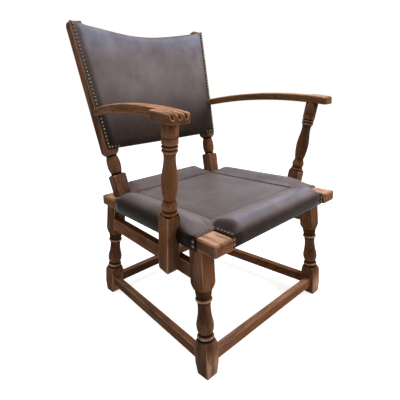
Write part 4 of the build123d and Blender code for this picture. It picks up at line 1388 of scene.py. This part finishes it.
finishSkin(
    "back-leather-rear-skin",
    leatherSkin(backRear, backRearPlace, backRearLook, flatGrip, (0, 1, 0), (0.0, 1.0, 0.0)),
    "back_leather_rear",
)

stuffing = {"voxel": 5.0, "smoothing": 4}


def padFromNode(name, node):
    bm = remeshed(nodeCopy(node), stuffing["voxel"])
    smoothed(bm, stuffing["smoothing"])
    shadedSmooth(bm)
    piece = finishPiece(name, bm, linen, [node])


padFromNode("back-stuffing", "back_pad")
padFromNode("seat-stuffing", "seat_pad")
print("back leather and stuffing are made")

nail = {"radius": 4.7, "rise": 3.0, "segments": 12, "rings": 8, "bright": (0.45, 0.95)}


# Each loose part of a frame node, as its vertices, in the node's own order.
def looseParts(bm):
    seen = set()
    for start in bm.verts:
        if start in seen:
            continue
        seen.add(start)
        found, waiting = [], [start]
        while waiting:
            vert = waiting.pop()
            found.append(vert)
            for edge in vert.link_edges:
                other = edge.other_vert(vert)
                if other not in seen:
                    seen.add(other)
                    waiting.append(other)
        yield found


# The upper half of a sphere, flattened, rubbed bright on its crown and dull below, which also paints in a
# small highlight.
def nailHead(bm, base, normal, wearAndSheen):
    turn = Vector((0, 0, 1)).rotation_difference(normal).to_matrix().to_4x4()
    ball = bmesh.ops.create_uvsphere(bm, u_segments=nail["segments"], v_segments=nail["rings"], radius=1.0)
    made = ball["verts"]
    bmesh.ops.delete(bm, geom=[vert for vert in made if vert.co.z < -0.01], context="VERTS")
    kept = [vert for vert in made if vert.is_valid]
    for vert in kept:
        vert[wearAndSheen] = smoothStep(vert.co.z, *nail["bright"])
    bmesh.ops.scale(bm, vec=(nail["radius"] * mm, nail["radius"] * mm, nail["rise"] * mm), verts=kept)
    bmesh.ops.transform(bm, matrix=Matrix.Translation(base) @ turn, verts=kept)


def makeNails(node, normal):
    source = nodeCopy(node)
    bm = bmesh.new()
    wearAndSheen = bm.verts.layers.float.new("wearAndSheen")
    for head in looseParts(source):
        lowest = min(vert.co.dot(normal) for vert in head)
        centre = sum((vert.co for vert in head), Vector()) / len(head)
        nailHead(bm, centre + normal * (lowest - centre.dot(normal)), normal, wearAndSheen)
    source.free()
    shadedSmooth(bm)
    finishPiece(pieceName(node, "domed"), bm, brass, [node])


for side in ("left", "right"):
    makeNails("back_nails_" + side, backOut)
    makeNails("seat_nails_" + side, seatUp)

# Nails on the upright faces, which the frame leaves out: beside the front corners and the arm posts.
uprightNails = {
    "side": ((70.0, -9.0), (70.0, -20.0), (120.0, -8.0), (120.0, -19.0)), "front": (-8.0, -19.0),
    "frontInset": 6.0, "proud": 4.2,
}


def makeUprightNails():
    bm = bmesh.new()
    wearAndSheen = bm.verts.layers.float.new("wearAndSheen")
    turn, proud = seatTurn.to_3x3(), uprightNails["proud"]
    for side in (-1, 1):
        for station, height in uprightNails["side"]:
            base = seatPoint(side * (outerHalf(station) + proud), station, height)
            nailHead(bm, base, turn @ Vector((side, 0, 0)), wearAndSheen)
        for height in uprightNails["front"]:
            x = side * (seat["notch"] - uprightNails["frontInset"])
            nailHead(bm, seatPoint(x, seat["frontSetback"] - proud, height), turn @ Vector((0, -1, 0)), wearAndSheen)
    shadedSmooth(bm)
    finishPiece("seat-nails-upright", bm, brass, [])


makeUprightNails()
print("nails are made")

for node in ("arm_dowels_left", "arm_dowels_right"):
    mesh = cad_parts[node].data
    mesh.materials.clear()
    mesh.materials.append(oakAcross)

# The straps differ in length, so each one's flat size is taken from its own solid.
strap = {"thickness": 2.0, "steps": 24, "measured": 3}


# Jute straps stretched under the seat frame, each on its solid's middle plane. Way is the axis along them.
def makeStraps(name, node, way):
    source = nodeCopy(node)
    level = seatTurn.inverted()
    segments = (strap["steps"], 1) if way == 0 else (1, strap["steps"])
    bm = bmesh.new()
    for part in looseParts(source):
        points = [level @ vert.co for vert in part]
        low = Vector([min(point[axis] for point in points) for axis in range(3)])
        high = Vector([max(point[axis] for point in points) for axis in range(3)])
        middle, half = (low + high) / 2, (high - low) / 2
        grid = bmesh.ops.create_grid(bm, x_segments=segments[0], y_segments=segments[1], size=1.0)
        for vert in grid["verts"]:
            vert.co = seatTurn @ (middle + Vector((half.x * vert.co.x, half.y * vert.co.y, 0.0)))
    source.free()
    area = sum(face.calc_area() for face in bm.faces)
    piece = finishPiece(name, bm, jute, [node])
    body = piece.modifiers.new("body", "SOLIDIFY")
    body.thickness = strap["thickness"] * mm
    body.offset = 0.0


makeStraps("seat-webbing-straps-across", "seat_webbing_across", 0)
makeStraps("seat-webbing-straps-along", "seat_webbing_along", 1)
print("webbing is made")
